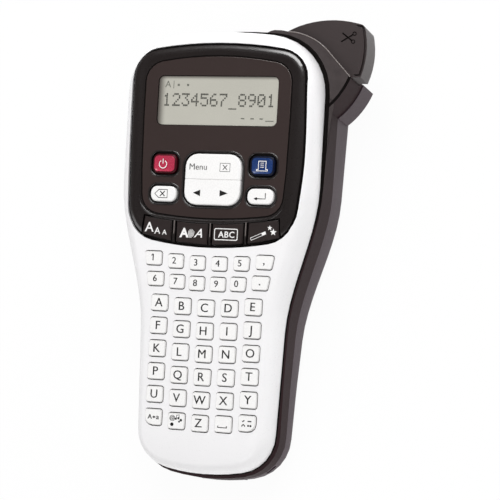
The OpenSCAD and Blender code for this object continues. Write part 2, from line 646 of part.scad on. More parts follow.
// blade and its carrier hang from the lever
module cutting(u0, u1, s0, s1, z0, z1) translate([cut_at.x, cut_at.y, z0]) rotate(tape_turn)
    translate([u0, -s1, 0]) cube([u1 - u0, s1 - s0, z1 - z0]);
blade_start = -0.4;
module blade_carrier() color("#8a8a90") difference() {
    cutting(-1.3, 1.3, blade_start - 4.4, blade_start - 1.4, tape_z - 0.2, lever_z);
    cutting(-0.26, 0.26, blade_start - 3.2, blade_start + 1, tape_z - 1, tape_z + tape_w + 0.7);
}
module cutter_blade() color("#cfd2d6")
    cutting(-0.25, 0.25, blade_start - 3.1, blade_start, tape_z - 0.3, tape_z + tape_w + 0.5);
module cutter_anvil() color("#b8b8bc")
    cutting(0.5, 2.6, 0.3, 2.3, tape_z - 0.5, chassis_z);

// ---- tape drive ----

chassis_z = cassette_z + cassette_t + 0.4;
chassis_t = 1.6;
gear_m = 0.6;
idler_teeth = 40;
pinion_teeth = 12;
step_teeth = 14;
platen_teeth = 22;
takeup_teeth = 24;
gear_low_z = chassis_z + chassis_t + 0.4;
gear_low_t = 2.4;
gear_high_z = gear_low_z + gear_low_t + 0.4;
gear_high_t = 2.2;
idler_turn = 217;                   // from the platen to the idler, in degrees
idler_at = platen_at + gear_m * (step_teeth + platen_teeth) / 2 * [cos(idler_turn), sin(idler_turn)];
motor_turn = 201;
motor_at = idler_at + gear_m * (idler_teeth + pinion_teeth) / 2 * [cos(motor_turn), sin(motor_turn)];
takeup_turn = -100;
takeup_at = idler_at + gear_m * (step_teeth + takeup_teeth) / 2 * [cos(takeup_turn), sin(takeup_turn)];
spool_at = [-14, 46];
ribbon_at = [8, 31];
spool_r = 16.5;
ribbon_r = 6;
shaft_r = 1.4;
spindle_r = 2.5;

module gear(at, teeth, phase, z0, t, bore) translate([at.x, at.y, z0]) difference() {
    linear_extrude(t) polygon([for (i = [0 : teeth - 1]) let (r = gear_m * teeth / 2, a = phase + i * 360 / teeth)
        each [for (q = [[-1.15, -108], [0.85, -46], [0.85, 46], [-1.15, 108]])
            (r + q[0] * gear_m) * [cos(a + q[1] / teeth), sin(a + q[1] / teeth)]]]);
    translate([0, 0, -1]) cylinder(h = t + 2, r = bore);
}
step_phase = idler_turn + 180;
// the take-up gear's gap follows the nearest tooth of the step gear
takeup_lag = ((takeup_turn - step_phase) % (360 / step_teeth)) * step_teeth / takeup_teeth;
module motor_pinion() color("#c9a24a") {
    gear(motor_at, pinion_teeth, motor_turn + 180, gear_high_z, gear_high_t, 0.9);
    translate([motor_at.x, motor_at.y, gear_high_z - 0.4]) cylinder(h = gear_high_t + 1, r = 0.89);
}
module idler_gear() color("#e4e2d8") {
    gear(idler_at, idler_teeth, motor_turn + 180 / idler_teeth, gear_high_z, gear_high_t, 1.5 + run_gap);
    gear(idler_at, step_teeth, step_phase, gear_low_z, gear_high_z - gear_low_z, 1.5 + run_gap);
}
module platen_gear() color("#e4e2d8")
    gear(platen_at, platen_teeth, idler_turn + 180 / platen_teeth, gear_low_z, gear_low_t, shaft_r + 0.02);
module takeup_gear() color("#e4e2d8") {
    gear(takeup_at, takeup_teeth, takeup_turn + 180 + takeup_lag + 180 / takeup_teeth, gear_low_z, gear_low_t, 1.2);
    translate([takeup_at.x, takeup_at.y, tape_z]) cylinder(h = gear_low_z + gear_low_t - tape_z, r = shaft_r);
}
module platen_roller() color("#2b2a2b") {
    translate([platen_at.x, platen_at.y, tape_z]) cylinder(h = tape_w, r = platen_r);
    translate([platen_at.x, platen_at.y, tape_z - 0.8]) cylinder(h = gear_low_z + gear_low_t - tape_z + 0.8, r = shaft_r);
}
module print_head() color("#77797d") translate([platen_at.x, platen_at.y, tape_z - 0.5]) rotate(tape_turn)
    translate([-5, -platen_r - 3.3, 0]) cube([9, 3, chassis_z - tape_z + 0.5]);

motor_r = 9.6;
motor_z = gear_high_z + gear_high_t + 0.9;
module drive_motor() color("#a9abb0") {
    translate([motor_at.x, motor_at.y, motor_z]) cylinder(h = face_plane(motor_at.y - motor_r, 9.9) - motor_z, r = motor_r);
}
motor_posts = [for (a = [100, 190, 265]) motor_at + (motor_r - 1.6) * [cos(a), sin(a)]];

module bay_chassis() color("#4b4c50") {
    difference() {
        union() {
            intersection() {
                slab(inset(body_plan, frame_wall - body_proud + seat_gap), chassis_z, chassis_z + chassis_t);
                translate([-60, 12, 0]) cube([120, 80, 60]);
            }
            slab([[38, 66], [44, 66], [48.4, 70.2], [50.6, 75], [48.3, 80], [45.6, 82], [43.6, 80.6], [43.6, 77.5], [38, 73]],
                chassis_z, chassis_z + chassis_t);
        }
        slab([[37, 73.2], [43.6, 77.2], [43.6, 80.6], [45.6, 82.2], [60, 84], [60, 100], [30, 100], [34, 84]], 0, 60);
        // room for the nose's end wall
        slab([[50.5, 60], [70, 60], [70, 90], [48.5, 90], [48.5, 80], [51.2, 75]], 0, 60);
        for (p = [platen_at, takeup_at]) translate([p.x, p.y, 0]) cylinder(h = 60, r = shaft_r + run_gap);
    }
    translate([idler_at.x, idler_at.y, chassis_z]) cylinder(h = gear_high_z + gear_high_t + 0.4 - chassis_z, r = 1.5);
    for (p = motor_posts) translate([p.x, p.y, chassis_z]) cylinder(h = motor_z - chassis_z, r = 1.6);
}

// ---- cassette ----

case_t = 1.2;
case_outline = [[-34, 22], [-34, 69], [-32, 71], [18, 71], [27, 65], [31, 60], [31, 22], [29, 20], [-32, 20]];
lid_z = cassette_z + cassette_t - case_t;
module cassette_case() color("#d7d6cf") {
    difference() {
        slab(case_outline, cassette_z, lid_z);
        translate([0, 0, cassette_z + case_t]) linear_extrude(20) offset(delta = -case_t) polygon(case_outline);
        translate([22, 60, cassette_z + case_t]) cube([10, 8, 20]);
    }
    for (p = [spool_at, ribbon_at]) translate([p.x, p.y, cassette_z]) cylinder(h = lid_z - cassette_z - slip, r = spindle_r);
}
module cassette_lid() color("#e8e7e1") difference() {
    slab(case_outline, lid_z, lid_z + case_t);
    translate([takeup_at.x, takeup_at.y, 0]) cylinder(h = 60, r = 3);
}
module reel(at, r, hub_r, z0, z1, bore) translate([at.x, at.y, z0]) difference() {
    cylinder(h = z1 - z0, r = r);
    translate([0, 0, -1]) cylinder(h = z1 - z0 + 2, r = bore);
    for (z = [-1, z1 - z0 - 0.4]) translate([0, 0, z]) difference() {
        cylinder(h = z < 0 ? 1.4 : 2, r = hub_r + 1);
        translate([0, 0, -1]) cylinder(h = 6, r = hub_r);
    }
}
module tape_roll() color("#f7f6f0") reel(spool_at, spool_r, spindle_r + 1.6, tape_z, tape_z + tape_w, spindle_r + run_gap);
module ribbon_roll() color("#26262a") reel(ribbon_at, ribbon_r, spindle_r + 1, tape_z, tape_z + tape_w, spindle_r + run_gap);
module takeup_spool() color("#3f3f45") reel(takeup_at, 5.6, 3, tape_z, tape_z + tape_w, shaft_r + 0.02);

// ---- battery bay ----

cell_x = 22.25 + 2.45;
bay_x = cell_x + 0.5;
cell_z = 7.85;
cells = [for (i = [0 : 5]) -82 + cell_pitch * i];
function cell_way(i) = i % 2 == 0 ? 1 : -1;
module batteries() color("#4f7f8d") for (i = [0 : 5]) translate([cell_way(i) * 2.45, cells[i], cell_z]) rotate([0, 90 * cell_way(i), 0]) {
    translate([0, 0, -cell_len / 2]) cylinder(h = cell_len - 0.8, r = cell_r);
    translate([0, 0, cell_len / 2 - 1]) cylinder(h = 1, r = 1.9);
}
tray_z = 16.7;
tray_t = 1.3;
module battery_tray() color("#444246") difference() {
    union() {
        intersection() {
            slab(inset(body_plan, frame_wall - body_proud + seat_gap), tray_z, tray_z + tray_t);
            translate([-60, -92, 0]) cube([120, 74, 60]);
        }
        for (x = [-16, -1, 14]) translate([x, -88, cell_z]) cube([2, 68, tray_z - cell_z + 0.2]);
        for (s = [-1, 1]) translate([s * (bay_x + 0.9) - 0.9, -86.4, 5]) cube([1.8, 66.4, tray_z - 4.8]);
    }
    for (y = cells) translate([-24, y, cell_z]) rotate([0, 90, 0]) cylinder(h = 48, r = cell_r + 0.1);
    for (s = [-1, 1]) translate([s * 24, plan_y(-57) - 0.3, tray_z - 1]) cylinder(h = 5, r = 3.4);
}
module battery_springs() color("#c9c9cd") for (i = [0 : 5]) for (k = [0 : 3])
    translate([-cell_way(i) * (bay_x - 0.9 - k * 1.25), cells[i], cell_z]) rotate([0, 90, 0])
        rotate_extrude() translate([3.4 - k * 0.35, 0]) circle(r = 0.4, $fn = 16);
module battery_contacts() color("#b5a25c") for (i = [0 : 5]) for (s = [-1, 1])
    translate([s * (bay_x - 0.2) - 0.2, cells[i] - 4.4, 4.2]) cube([0.4, 8.8, 8]);

module shell_screws() color("#9a9ca0") on_face() for (p = concat(grip_screws, panel_screws))
    translate([p.x, p.y, -ear_top - ear_t - 1.4]) {
        difference() {
            cylinder(h = 1.4, r = 2.4);
            translate([-1.5, -0.3, -1]) cube([3, 0.6, 1.6]);
            translate([-0.3, -1.5, -1]) cube([0.6, 3, 1.6]);
        }
        cylinder(h = ear_t + 8, r = screw_r - 0.02);
    }

front_shell();
bezel_frame();
display_lens();
lcd_module();
main_board();
key_mat();
power_key();
print_key();
clear_key();
enter_key();
menu_key();
cursor_key();
size_key();
style_key();
frame_key();
deco_key();
key_row(1);  // key_row_1
key_row(2);  // key_row_2
key_row(3);  // key_row_3
key_row(4);  // key_row_4
key_row(5);  // key_row_5
key_row(6);  // key_row_6
key_row(7);  // key_row_7
key_row(8);  // key_row_8
body_frame();
bay_chassis();
battery_tray();
rear_cover();
hinge_pin();
cutter_lever();
lever_pin();
lever_spring();
blade_carrier();
cutter_blade();
cutter_anvil();
drive_motor();
motor_pinion();
idler_gear();
platen_gear();
platen_roller();
print_head();
takeup_gear();
cassette_case();
cassette_lid();
tape_roll();
ribbon_roll();
takeup_spool();
batteries();
battery_springs();
battery_contacts();
shell_screws();
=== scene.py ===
import json
import math
import bmesh
import bpy
from mathutils import Matrix, Vector

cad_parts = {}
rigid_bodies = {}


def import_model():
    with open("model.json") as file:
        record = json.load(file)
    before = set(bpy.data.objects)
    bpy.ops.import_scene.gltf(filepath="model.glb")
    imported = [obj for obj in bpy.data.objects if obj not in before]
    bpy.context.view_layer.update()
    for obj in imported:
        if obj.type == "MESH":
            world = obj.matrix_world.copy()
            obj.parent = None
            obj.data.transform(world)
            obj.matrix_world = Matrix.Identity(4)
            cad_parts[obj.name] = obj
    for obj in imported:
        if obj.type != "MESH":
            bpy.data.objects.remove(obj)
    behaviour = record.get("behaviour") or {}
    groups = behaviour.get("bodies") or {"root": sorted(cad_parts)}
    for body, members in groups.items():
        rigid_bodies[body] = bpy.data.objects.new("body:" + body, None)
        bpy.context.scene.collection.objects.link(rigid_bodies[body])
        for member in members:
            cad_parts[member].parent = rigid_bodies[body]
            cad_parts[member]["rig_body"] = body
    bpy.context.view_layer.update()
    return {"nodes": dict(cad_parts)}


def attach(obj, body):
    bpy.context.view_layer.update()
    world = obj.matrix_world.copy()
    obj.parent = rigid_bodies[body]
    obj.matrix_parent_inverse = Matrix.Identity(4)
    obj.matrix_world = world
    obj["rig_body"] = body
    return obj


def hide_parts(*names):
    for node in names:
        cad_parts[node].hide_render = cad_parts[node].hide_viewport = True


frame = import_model()
nodes = frame["nodes"]
print("frame loaded:", len(nodes), "nodes")

# The keyboard face: its tilt, and where the first letter row's middle lies (mm)
face = dict(tilt=6.5, y=-26.0, z=42.6)
faceMatrix = (Matrix.Scale(0.001, 4)
              @ Matrix.Translation((0, face["y"], face["z"]))
              @ Matrix.Rotation(math.radians(face["tilt"]), 4, "X"))


def toLinear(hexColour):
    channels = [int(hexColour[i:i + 2], 16) / 255 for i in (1, 3, 5)]
    return [c / 12.92 if c <= 0.04045 else ((c + 0.055) / 1.055) ** 2.4 for c in channels] + [1.0]


def addNode(tree, kind, inputs=None, **settings):
    made = tree.nodes.new("ShaderNode" + kind)
    for name, value in settings.items():
        setattr(made, name, value)
    for name, value in (inputs or {}).items():
        if isinstance(value, bpy.types.NodeSocket):
            tree.links.new(value, made.inputs[name])
        else:
            made.inputs[name].default_value = value
    return made


def newMaterial(name):
    material = bpy.data.materials.new(name)
    material.use_nodes = True
    material.node_tree.nodes.clear()
    return material, material.node_tree


# The part of a noise's range that a pattern uses, and the height of a bump (m)
pattern = dict(low=0.3, high=0.7, bumpHeight=0.0001)


# A moulded plastic: colour that drifts a little, a grain in the gloss, and a fine bump.
# driftMm and grainMm are the widths of the patterns. The real grain, about 0.1 mm, is too
# fine to show in the render, so it is drawn as coarse as it needs to show.
def mouldedPlastic(name, colour, drift=0.04, driftMm=30, grainMm=0.6, rough=0.35, roughSpread=0.06,
                   bump=0.05, coat=0.0, coatRough=0.1, specular=0.5, ior=1.5):
    material, tree = newMaterial(name)
    place = addNode(tree, "TexCoord").outputs["Object"]
    cloud = addNode(tree, "TexNoise", {"Vector": place, "Scale": 1000 / driftMm, "Detail": 3.0})
    grain = addNode(tree, "TexNoise", {"Vector": place, "Scale": 1000 / grainMm, "Detail": 2.0})
    base = Vector(toLinear(colour))
    ramp = addNode(tree, "ValToRGB", {"Fac": cloud.outputs["Fac"]})
    ramp.color_ramp.elements[0].position = pattern["low"]
    ramp.color_ramp.elements[1].position = pattern["high"]
    ramp.color_ramp.elements[0].color = [c * (1 - drift) for c in base[:3]] + [1]
    ramp.color_ramp.elements[1].color = [min(1, c * (1 + drift)) for c in base[:3]] + [1]
    gloss = addNode(tree, "MapRange", {
        "Value": grain.outputs["Fac"], "From Min": pattern["low"], "From Max": pattern["high"],
        "To Min": max(0.02, rough - roughSpread), "To Max": rough + roughSpread})
    relief = addNode(tree, "Bump", {
        "Height": grain.outputs["Fac"], "Strength": bump, "Distance": pattern["bumpHeight"]})
    skin = addNode(tree, "BsdfPrincipled", {
        "Base Color": ramp.outputs["Color"], "Roughness": gloss.outputs["Result"],
        "Normal": relief.outputs["Normal"], "IOR": ior, "Specular IOR Level": specular,
        "Coat Weight": coat, "Coat Roughness": coatRough})
    addNode(tree, "OutputMaterial", {"Surface": skin.outputs["BSDF"]})
    return material


# A ground or drawn metal: fine streaks along one axis, drawn wider than the real ones so that
# they show; streakMm is their size along X, Y and Z
def drawnMetal(name, colour, rough=0.3, streakMm=(0.2, 6, 0.2), bump=0.08):
    material, tree = newMaterial(name)
    place = addNode(tree, "TexCoord").outputs["Object"]
    stretch = addNode(tree, "Mapping", {"Vector": place, "Scale": [1000 / s for s in streakMm]})
    streak = addNode(tree, "TexNoise", {"Vector": stretch.outputs["Vector"], "Scale": 1.0, "Detail": 3.0})
    base = toLinear(colour)
    ramp = addNode(tree, "ValToRGB", {"Fac": streak.outputs["Fac"]})
    ramp.color_ramp.elements[0].color = [c * 0.8 for c in base[:3]] + [1]
    ramp.color_ramp.elements[1].color = base
    gloss = addNode(tree, "MapRange", {
        "Value": streak.outputs["Fac"], "To Min": rough - 0.08, "To Max": rough + 0.1})
    relief = addNode(tree, "Bump", {
        "Height": streak.outputs["Fac"], "Strength": bump, "Distance": pattern["bumpHeight"]})
    skin = addNode(tree, "BsdfPrincipled", {
        "Base Color": ramp.outputs["Color"], "Metallic": 1.0,
        "Roughness": gloss.outputs["Result"], "Normal": relief.outputs["Normal"]})
    addNode(tree, "OutputMaterial", {"Surface": skin.outputs["BSDF"]})
    return material


# White ABS, moulded against a polished tool: soft broad sheen, almost no grain
whiteAbs = mouldedPlastic("whiteAbsPolished", "#f1f0f1", drift=0.012, rough=0.32, bump=0.02)
# Keycaps in the same white, a touch warmer and smoother from handling
whiteKeycap = mouldedPlastic("whiteAbsKeycap", "#f3f2f1", drift=0.01, driftMm=12, rough=0.28, bump=0.02)
# The caps' flanks are painted a darker grey for the shade in their holes
whiteKeyPaintedShade = mouldedPlastic("whiteAbsCapFlankPaintedShade", "#8d8a88", drift=0.03, driftMm=8, rough=0.4, bump=0.02)
# Dark brown ABS with a high-gloss rim that mirrors the lamps
glossRim = mouldedPlastic("darkAbsHighGloss", "#1a1211", drift=0.05, rough=0.3, roughSpread=0.03,
                          bump=0.02, coat=1.0, coatRough=0.16, specular=0.9)
# Fine raised edges of the same plastic, painted lighter as a highlight
paintedHighlightEdge = mouldedPlastic("darkAbsPaintedHighlight", "#7d7471", drift=0.1, driftMm=8, rough=0.3,
                            roughSpread=0.03, bump=0.02, coat=1.0, coatRough=0.2)
# The inner panel is the same plastic with a matt film, so it stays even
satinPanel = mouldedPlastic("darkAbsSatinFilm", "#362a28", drift=0.04, rough=0.4, bump=0.06, specular=0.4)
# Dark body plastic, spark-eroded tool: fine pebble grain
grainedFrame = mouldedPlastic("darkAbsGrained", "#2f2123", drift=0.06, grainMm=0.5, rough=0.55,
                              bump=0.25, specular=0.07)
# The deck beside the lever: the same plastic, painted lighter and greyer on its top for the light that falls
# on it
grainedDeckPaintedLight = mouldedPlastic("darkAbsGrainedTopPaintedLight", "#413a3a", drift=0.1, driftMm=4, grainMm=0.6,
                             rough=0.5, bump=0.35, specular=0.22)
# The cover has the same grain, painted a warmer, lighter grey than the frame for the light its rounded back
# catches, with a dull sheen
grainedCoverPaintedLight = mouldedPlastic("warmGreyAbsGrainedPaintedLight", "#43353c", drift=0.06, grainMm=0.5, rough=0.5,
                              bump=0.25, specular=0.25)
# The lever's grain is worn a little smoother, so its top takes a soft light
grainedLever = mouldedPlastic("leverAbsGrained", "#3a3131", drift=0.06, grainMm=0.5, rough=0.42, bump=0.2)
# Dark caps, moulded with a coarse grain that breaks their sheen into specks
darkKeycap = mouldedPlastic("darkAbsKeycap", "#2c2322", drift=0.1, driftMm=1.2, grainMm=0.5, rough=0.4,
                            bump=0.3)
# Near-black unpolished plastic, painted in as shade: the groove round the panel, the seams and gaps, the
# scissors' strokes, the dark caps' flanks and the rim's outer flank
paintedShadeDark = mouldedPlastic("darkAbsPaintedShade", "#0c0807", drift=0.05, rough=0.8, bump=0.1, specular=0.1)
# Tinted polycarbonate from a polished tool: a deep colour with small bright highlights
redKeycap = mouldedPlastic("redPolycarbonateKeycap", "#b5324e", drift=0.06, driftMm=6, rough=0.25,
                           bump=0.02)
blueKeycap = mouldedPlastic("bluePolycarbonateKeycap", "#1f3a70", drift=0.06, driftMm=6, rough=0.25,
                            bump=0.02)
# The same, painted nearly black as shade on the caps' sloping border and flanks, which lie in the moat; dull
redKeyPaintedShade = mouldedPlastic("redPolycarbonatePaintedShade", "#42030f", drift=0.08, driftMm=5, rough=0.45,
                            bump=0.02, specular=0.25)
blueKeyPaintedShade = mouldedPlastic("bluePolycarbonatePaintedShade", "#040d26", drift=0.08, driftMm=5, rough=0.45,
                             bump=0.02, specular=0.25)
# Display: clear acrylic over a grey-green reflector, seen as one glossy pale pane
displayPane = mouldedPlastic("acrylicOverGreyReflector", "#b8b6ac", drift=0.03, driftMm=25, rough=0.2,
                             bump=0.01)
# Painted shadow of the frame on the reflector, along its left and upper edges, and the widths it fades over
# (mm)
paintedPaneShadow = dict(left=-28.4, top=101.9, leftWidth=4.6, topWidth=2.2, dark="#4a4440")


# paints the frame's shadow into the pane's colour
def paintPaneShadow(tree):
    skin = next(n for n in tree.nodes if n.type == "BSDF_PRINCIPLED")
    plainColour = skin.inputs["Base Color"].links[0].from_socket
    place = addNode(tree, "TexCoord").outputs["Object"]
    level = addNode(tree, "Mapping", {
        "Vector": place, "Location": (0, -face["y"] / 1000, -face["z"] / 1000)})
    turned = addNode(tree, "Mapping", {
        "Vector": level.outputs["Vector"], "Rotation": (math.radians(-face["tilt"]), 0, 0),
        "Scale": (1000, 1000, 1000)})
    spot = addNode(tree, "SeparateXYZ", {"Vector": turned.outputs["Vector"]})
    leftPart = addNode(tree, "MapRange", {
        "Value": spot.outputs["X"], "From Min": paintedPaneShadow["left"],
        "From Max": paintedPaneShadow["left"] + paintedPaneShadow["leftWidth"]}, interpolation_type="SMOOTHSTEP")
    topPart = addNode(tree, "MapRange", {
        "Value": spot.outputs["Y"], "From Min": paintedPaneShadow["top"],
        "From Max": paintedPaneShadow["top"] - paintedPaneShadow["topWidth"]}, interpolation_type="SMOOTHSTEP")
    lit = addNode(tree, "Math", {
        0: leftPart.outputs["Result"], 1: topPart.outputs["Result"]}, operation="MULTIPLY")
    shaded = addNode(tree, "Mix", {"Factor": lit.outputs[0]}, data_type="RGBA")
    shaded.inputs["A"].default_value = toLinear(paintedPaneShadow["dark"])
    tree.links.new(plainColour, shaded.inputs["B"])
    tree.links.new(shaded.outputs["Result"], skin.inputs["Base Color"])


paintPaneShadow(displayPane.node_tree)
# Liquid crystal: a lit dot is a flat dark grey, and the indicator marks are a fainter one
displayDots = mouldedPlastic("liquidCrystalSegment", "#575751", drift=0.05, driftMm=5, rough=0.3, bump=0.0)
displayGhost = mouldedPlastic("liquidCrystalFaint", "#6f7068", drift=0.05, driftMm=5, rough=0.3, bump=0.0)
# Pad-printed ink dries to a thin dull film, so the legends don't catch the lamps
greyInk = mouldedPlastic("padPrintGreyInk", "#2b292a", drift=0.08, driftMm=2, rough=0.5, bump=0.02)
blackInk = mouldedPlastic("padPrintBlackInk", "#161414", drift=0.08, driftMm=2, rough=0.5, bump=0.02)
whiteInk = mouldedPlastic("padPrintWhiteInk", "#f0efee", drift=0.03, driftMm=2, rough=0.5, bump=0.02)
# Inner ABS from an unpolished tool: charcoal and dull
innerAbs = mouldedPlastic("charcoalAbsMoulded", "#3f4044", drift=0.06, rough=0.5, bump=0.15)
# Natural acetal is milky, with a waxy sheen on the teeth
acetalGear = mouldedPlastic("naturalAcetalMoulded", "#dedcd2", drift=0.04, driftMm=6, rough=0.4, bump=0.05)
# Polystyrene cassettes are pale grey and a little glossy
cassetteShell = mouldedPlastic("lightGreyPolystyrene", "#cfcec8", drift=0.04, rough=0.35, bump=0.05)
# Wound tape shows its coated white edge, and the ribbon a black one with a sharper sheen
tapeStock = mouldedPlastic("coatedLabelTape", "#efeee8", drift=0.03, driftMm=4, grainMm=0.3, rough=0.4,
                           bump=0.1)
ribbonStock = mouldedPlastic("blackTransferRibbon", "#1d1d20", drift=0.05, driftMm=4, grainMm=0.3,
                             rough=0.25, bump=0.05)
# Moulded silicone is soft grey without a highlight
siliconeMat = mouldedPlastic("greySiliconeMoulded", "#868989", drift=0.05, rough=0.6, bump=0.1)
# Solder mask over copper tracks: green, glossy and a little mottled
boardLacquer = mouldedPlastic("greenSolderMask", "#235a32", drift=0.15, driftMm=4, rough=0.3, bump=0.1)
# The cells' shrunk film sleeve is smooth, with long highlights
cellSleeve = mouldedPlastic("shrinkSleeveTeal", "#3f6f7c", drift=0.06, driftMm=8, rough=0.25, bump=0.03)
# Ground nitrile rubber is black and quite matt
platenRubber = mouldedPlastic("blackNitrileGround", "#232223", drift=0.08, driftMm=3, grainMm=0.25,
                              rough=0.7, bump=0.3)
# The display cell under the pane: glass over a grey film, a flat grey
displayCell = mouldedPlastic("displayCellGrey", "#8e968e", drift=0.05, rough=0.4, bump=0.05)
# Metals: drawn spring steel and the motor's can are finely streaked, the ground blade is brightest,
# turned brass yellow, and nickel plate warm and a little dull
springSteel = drawnMetal("drawnSpringSteel", "#c4c4c8", rough=0.28)
bladeSteel = drawnMetal("groundBladeSteel", "#cfd2d6", rough=0.2, streakMm=(0.15, 0.15, 5))
motorSteel = drawnMetal("drawnSteelCan", "#a9abb0", rough=0.35)
turnedBrass = drawnMetal("turnedBrass", "#c9a24a", rough=0.25)
platedContact = drawnMetal("nickelPlatedStrip", "#b9b4a0", rough=0.3)
print("materials made")


def newPiece(name, bm, body, slot, *materials):
    mesh = bpy.data.meshes.new(name)
    bm.to_mesh(mesh)
    bm.free()
    for material in materials:
        mesh.materials.append(material)
    piece = bpy.data.objects.new(name, mesh)
    bpy.context.scene.collection.objects.link(piece)
    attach(piece, body)
    return piece


# A CAD part with merged corners, flat faces joined, and its moulded edges rounded
def dressedPart(node, name, slot, edge, segments=3, sharp=28, materials=(), pick=None, flat=0.4, shape=None):
    bm = bmesh.new()
    bm.from_mesh(nodes[node].data)
    bmesh.ops.remove_doubles(bm, verts=bm.verts, dist=2e-6)
    bmesh.ops.dissolve_limit(bm, angle_limit=math.radians(flat), verts=bm.verts, edges=bm.edges)
    if shape:
        shape(bm)
    for f in bm.faces:
        f.smooth = True
        f.material_index = pick(f) if pick else 0
    for e in bm.edges:
        e.smooth = (len(e.link_faces) == 2 and e.calc_face_angle(0) < math.radians(sharp)
                    and e.link_faces[0].material_index == e.link_faces[1].material_index)
    piece = newPiece(name, bm, nodes[node]["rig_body"], slot, *materials)
    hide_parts(node)
    if edge:
        rounding = piece.modifiers.new("edgeRounding", "BEVEL")
        rounding.width = edge / 1000
        rounding.segments = segments
        rounding.limit_method = "ANGLE"
        rounding.angle_limit = math.radians(sharp)
        rounding.harden_normals = False


toFace = faceMatrix.inverted()


def depthOf(point):
    return (toFace @ point).z


# how far a face turns up, from 1 for flat on the keyboard face to -1
def facing(f):
    return (toFace.to_3x3() @ f.normal).normalized().z


upward = dict(deck=0.9, rimTop=0.72, colourTop=0.93, capTop=0.2, shellFoot=-0.9)
# The case's moulded edges, and how deep the shell's foot lies under the face (mm)
caseEdge = dict(shell=0.25, frame=0.25, cover=0.25, lever=0.5, panel=0.3, lens=0.15, footDepth=13.3)
shellFoot = []


# the outline along which faces that pass the test meet faces that don't, from its leftmost
# point round (mm, in the face)
def outline(bm, test):
    walk = {}
    for e in bm.edges:
        if len(e.link_faces) == 2 and sum(bool(test(f)) for f in e.link_faces) == 1:
            for v in e.verts:
                walk.setdefault(v, []).append(e.other_vert(v))
    here = min(walk, key=lambda v: v.co.x)
    start, before = here, None
    points = []
    while True:
        p = toFace @ here.co
        points.append((p.x, p.y))
        after = next(v for v in walk[here] if v is not before)
        before, here = here, after
        if here is start:
            return points


# The panel's rim and the shell's opening round it bulge together on their right side (mm). Across,
# the bulge grows from start to full and dies away from hold to end; along, it is fullest at the
# place named at. The meshes are cut every few mm first, so that they can bend.
rimSide = dict(bulge=1.45, at=64, above=46, below=30, start=36, full=39.3, hold=40.8, end=44.3, depth=3.2,
               cut=3)
# At the panel's foot, an arc, they drop; this dies away over the reach above it and the fade below
rimFoot = dict(drop=0.8, y=27.2, radius=151, reach=8, fade=2.5, half=37)


def nearSide(f):
    places = [toFace @ v.co for v in f.verts]
    return any(p.x > rimSide["start"] and p.z > -rimSide["depth"] for p in places)


def bulge(bm):
    upwards = faceMatrix.to_3x3().normalized() @ Vector((0, 1, 0))
    for y in range(rimSide["at"] - rimSide["below"], rimSide["at"] + rimSide["above"], rimSide["cut"]):
        near = [f for f in bm.faces if nearSide(f)]
        geometry = near + list({e for f in near for e in f.edges}) + list({v for f in near for v in f.verts})
        bmesh.ops.bisect_plane(bm, geom=geometry, plane_co=faceMatrix @ Vector((0, y, 0)), plane_no=upwards)
    for v in bm.verts:
        p = toFace @ v.co
        away = (p.y - rimSide["at"]) / (rimSide["above"] if p.y > rimSide["at"] else rimSide["below"])
        if rimSide["start"] < p.x < rimSide["end"] and p.z > -rimSide["depth"] and abs(away) < 1:
            share = min(1, (p.x - rimSide["start"]) / (rimSide["full"] - rimSide["start"]),
                        (rimSide["end"] - p.x) / (rimSide["end"] - rimSide["hold"]))
            p.x += rimSide["bulge"] * share * (0.5 + 0.5 * math.cos(math.pi * away))
        over = p.y - rimFoot["y"] - p.x ** 2 / (2 * rimFoot["radius"])
        above = p.z > -rimSide["depth"]
        if above and -rimFoot["fade"] < over < rimFoot["reach"] and abs(p.x) < rimFoot["half"]:
            faded = over / rimFoot["reach"] if over > 0 else -over / rimFoot["fade"]
            p.y -= rimFoot["drop"] * (1 - faded)
        v.co = faceMatrix @ p


def underShell(f):
    return facing(f) < upward["shellFoot"] and depthOf(f.calc_center_median()) < -caseEdge["footDepth"]


def keepFoot(bm):
    bulge(bm)
    shellFoot.extend(outline(bm, underShell))


dressedPart("front_shell", "frontShell", "shell", caseEdge["shell"], materials=[whiteAbs], shape=keepFoot)
# the frame's up-facing deck gets the copy painted lighter for the light on it
dressedPart("body_frame", "bodyFrame", "frame", caseEdge["frame"], 2,
            materials=[grainedFrame, grainedDeckPaintedLight], pick=lambda f: 1 if facing(f) > upward["deck"] else 0)
dressedPart("rear_cover", "rearCover", "cover", caseEdge["cover"], 2, materials=[grainedCoverPaintedLight])
dressedPart("cutter_lever", "cutterLever", "lever", caseEdge["lever"], materials=[grainedLever])


def onPanel(f):
    return abs(depthOf(f.calc_center_median())) < 0.012    # mm from the panel's plane


# panel film, polished rim, and the rim's outer flank, which falls away into the gap, unpolished and painted
# near-black as shade
def panelFinishAndShade(f):
    return 1 if onPanel(f) else 2 if facing(f) < upward["rimTop"] else 0


# The rim's inner edge, which starts between low and high, comes down to the panel, and the
# panel's border is kept for the trim lines (mm)
rim = dict(innerStep=0.03, low=0.1, high=0.55, flush=0.02, beside=0.03)
panelBorder = []


def lowerRim(bm):
    lowered = []
    for v in bm.verts:
        p = toFace @ v.co
        if rim["low"] < p.z < rim["high"]:
            for e in v.link_edges:
                q = toFace @ e.other_vert(v).co
                if abs(q.z) < rim["flush"] and (p.xy - q.xy).length < rim["beside"]:
                    lowered.append((v, faceMatrix @ Vector((p.x, p.y, rim["innerStep"]))))
                    break
    for v, place in lowered:
        v.co = place
    bulge(bm)
    panelBorder.extend(outline(bm, onPanel))


dressedPart("bezel_frame", "displayPanel", "panel", caseEdge["panel"],
            materials=[glossRim, satinPanel, paintedShadeDark], pick=panelFinishAndShade, shape=lowerRim)
print("panel border points:", len(panelBorder))

# The lens is clear, so what is seen is its upper face with the display drawn just under it
lens = dict(sunk=1.3, shown=0.3)


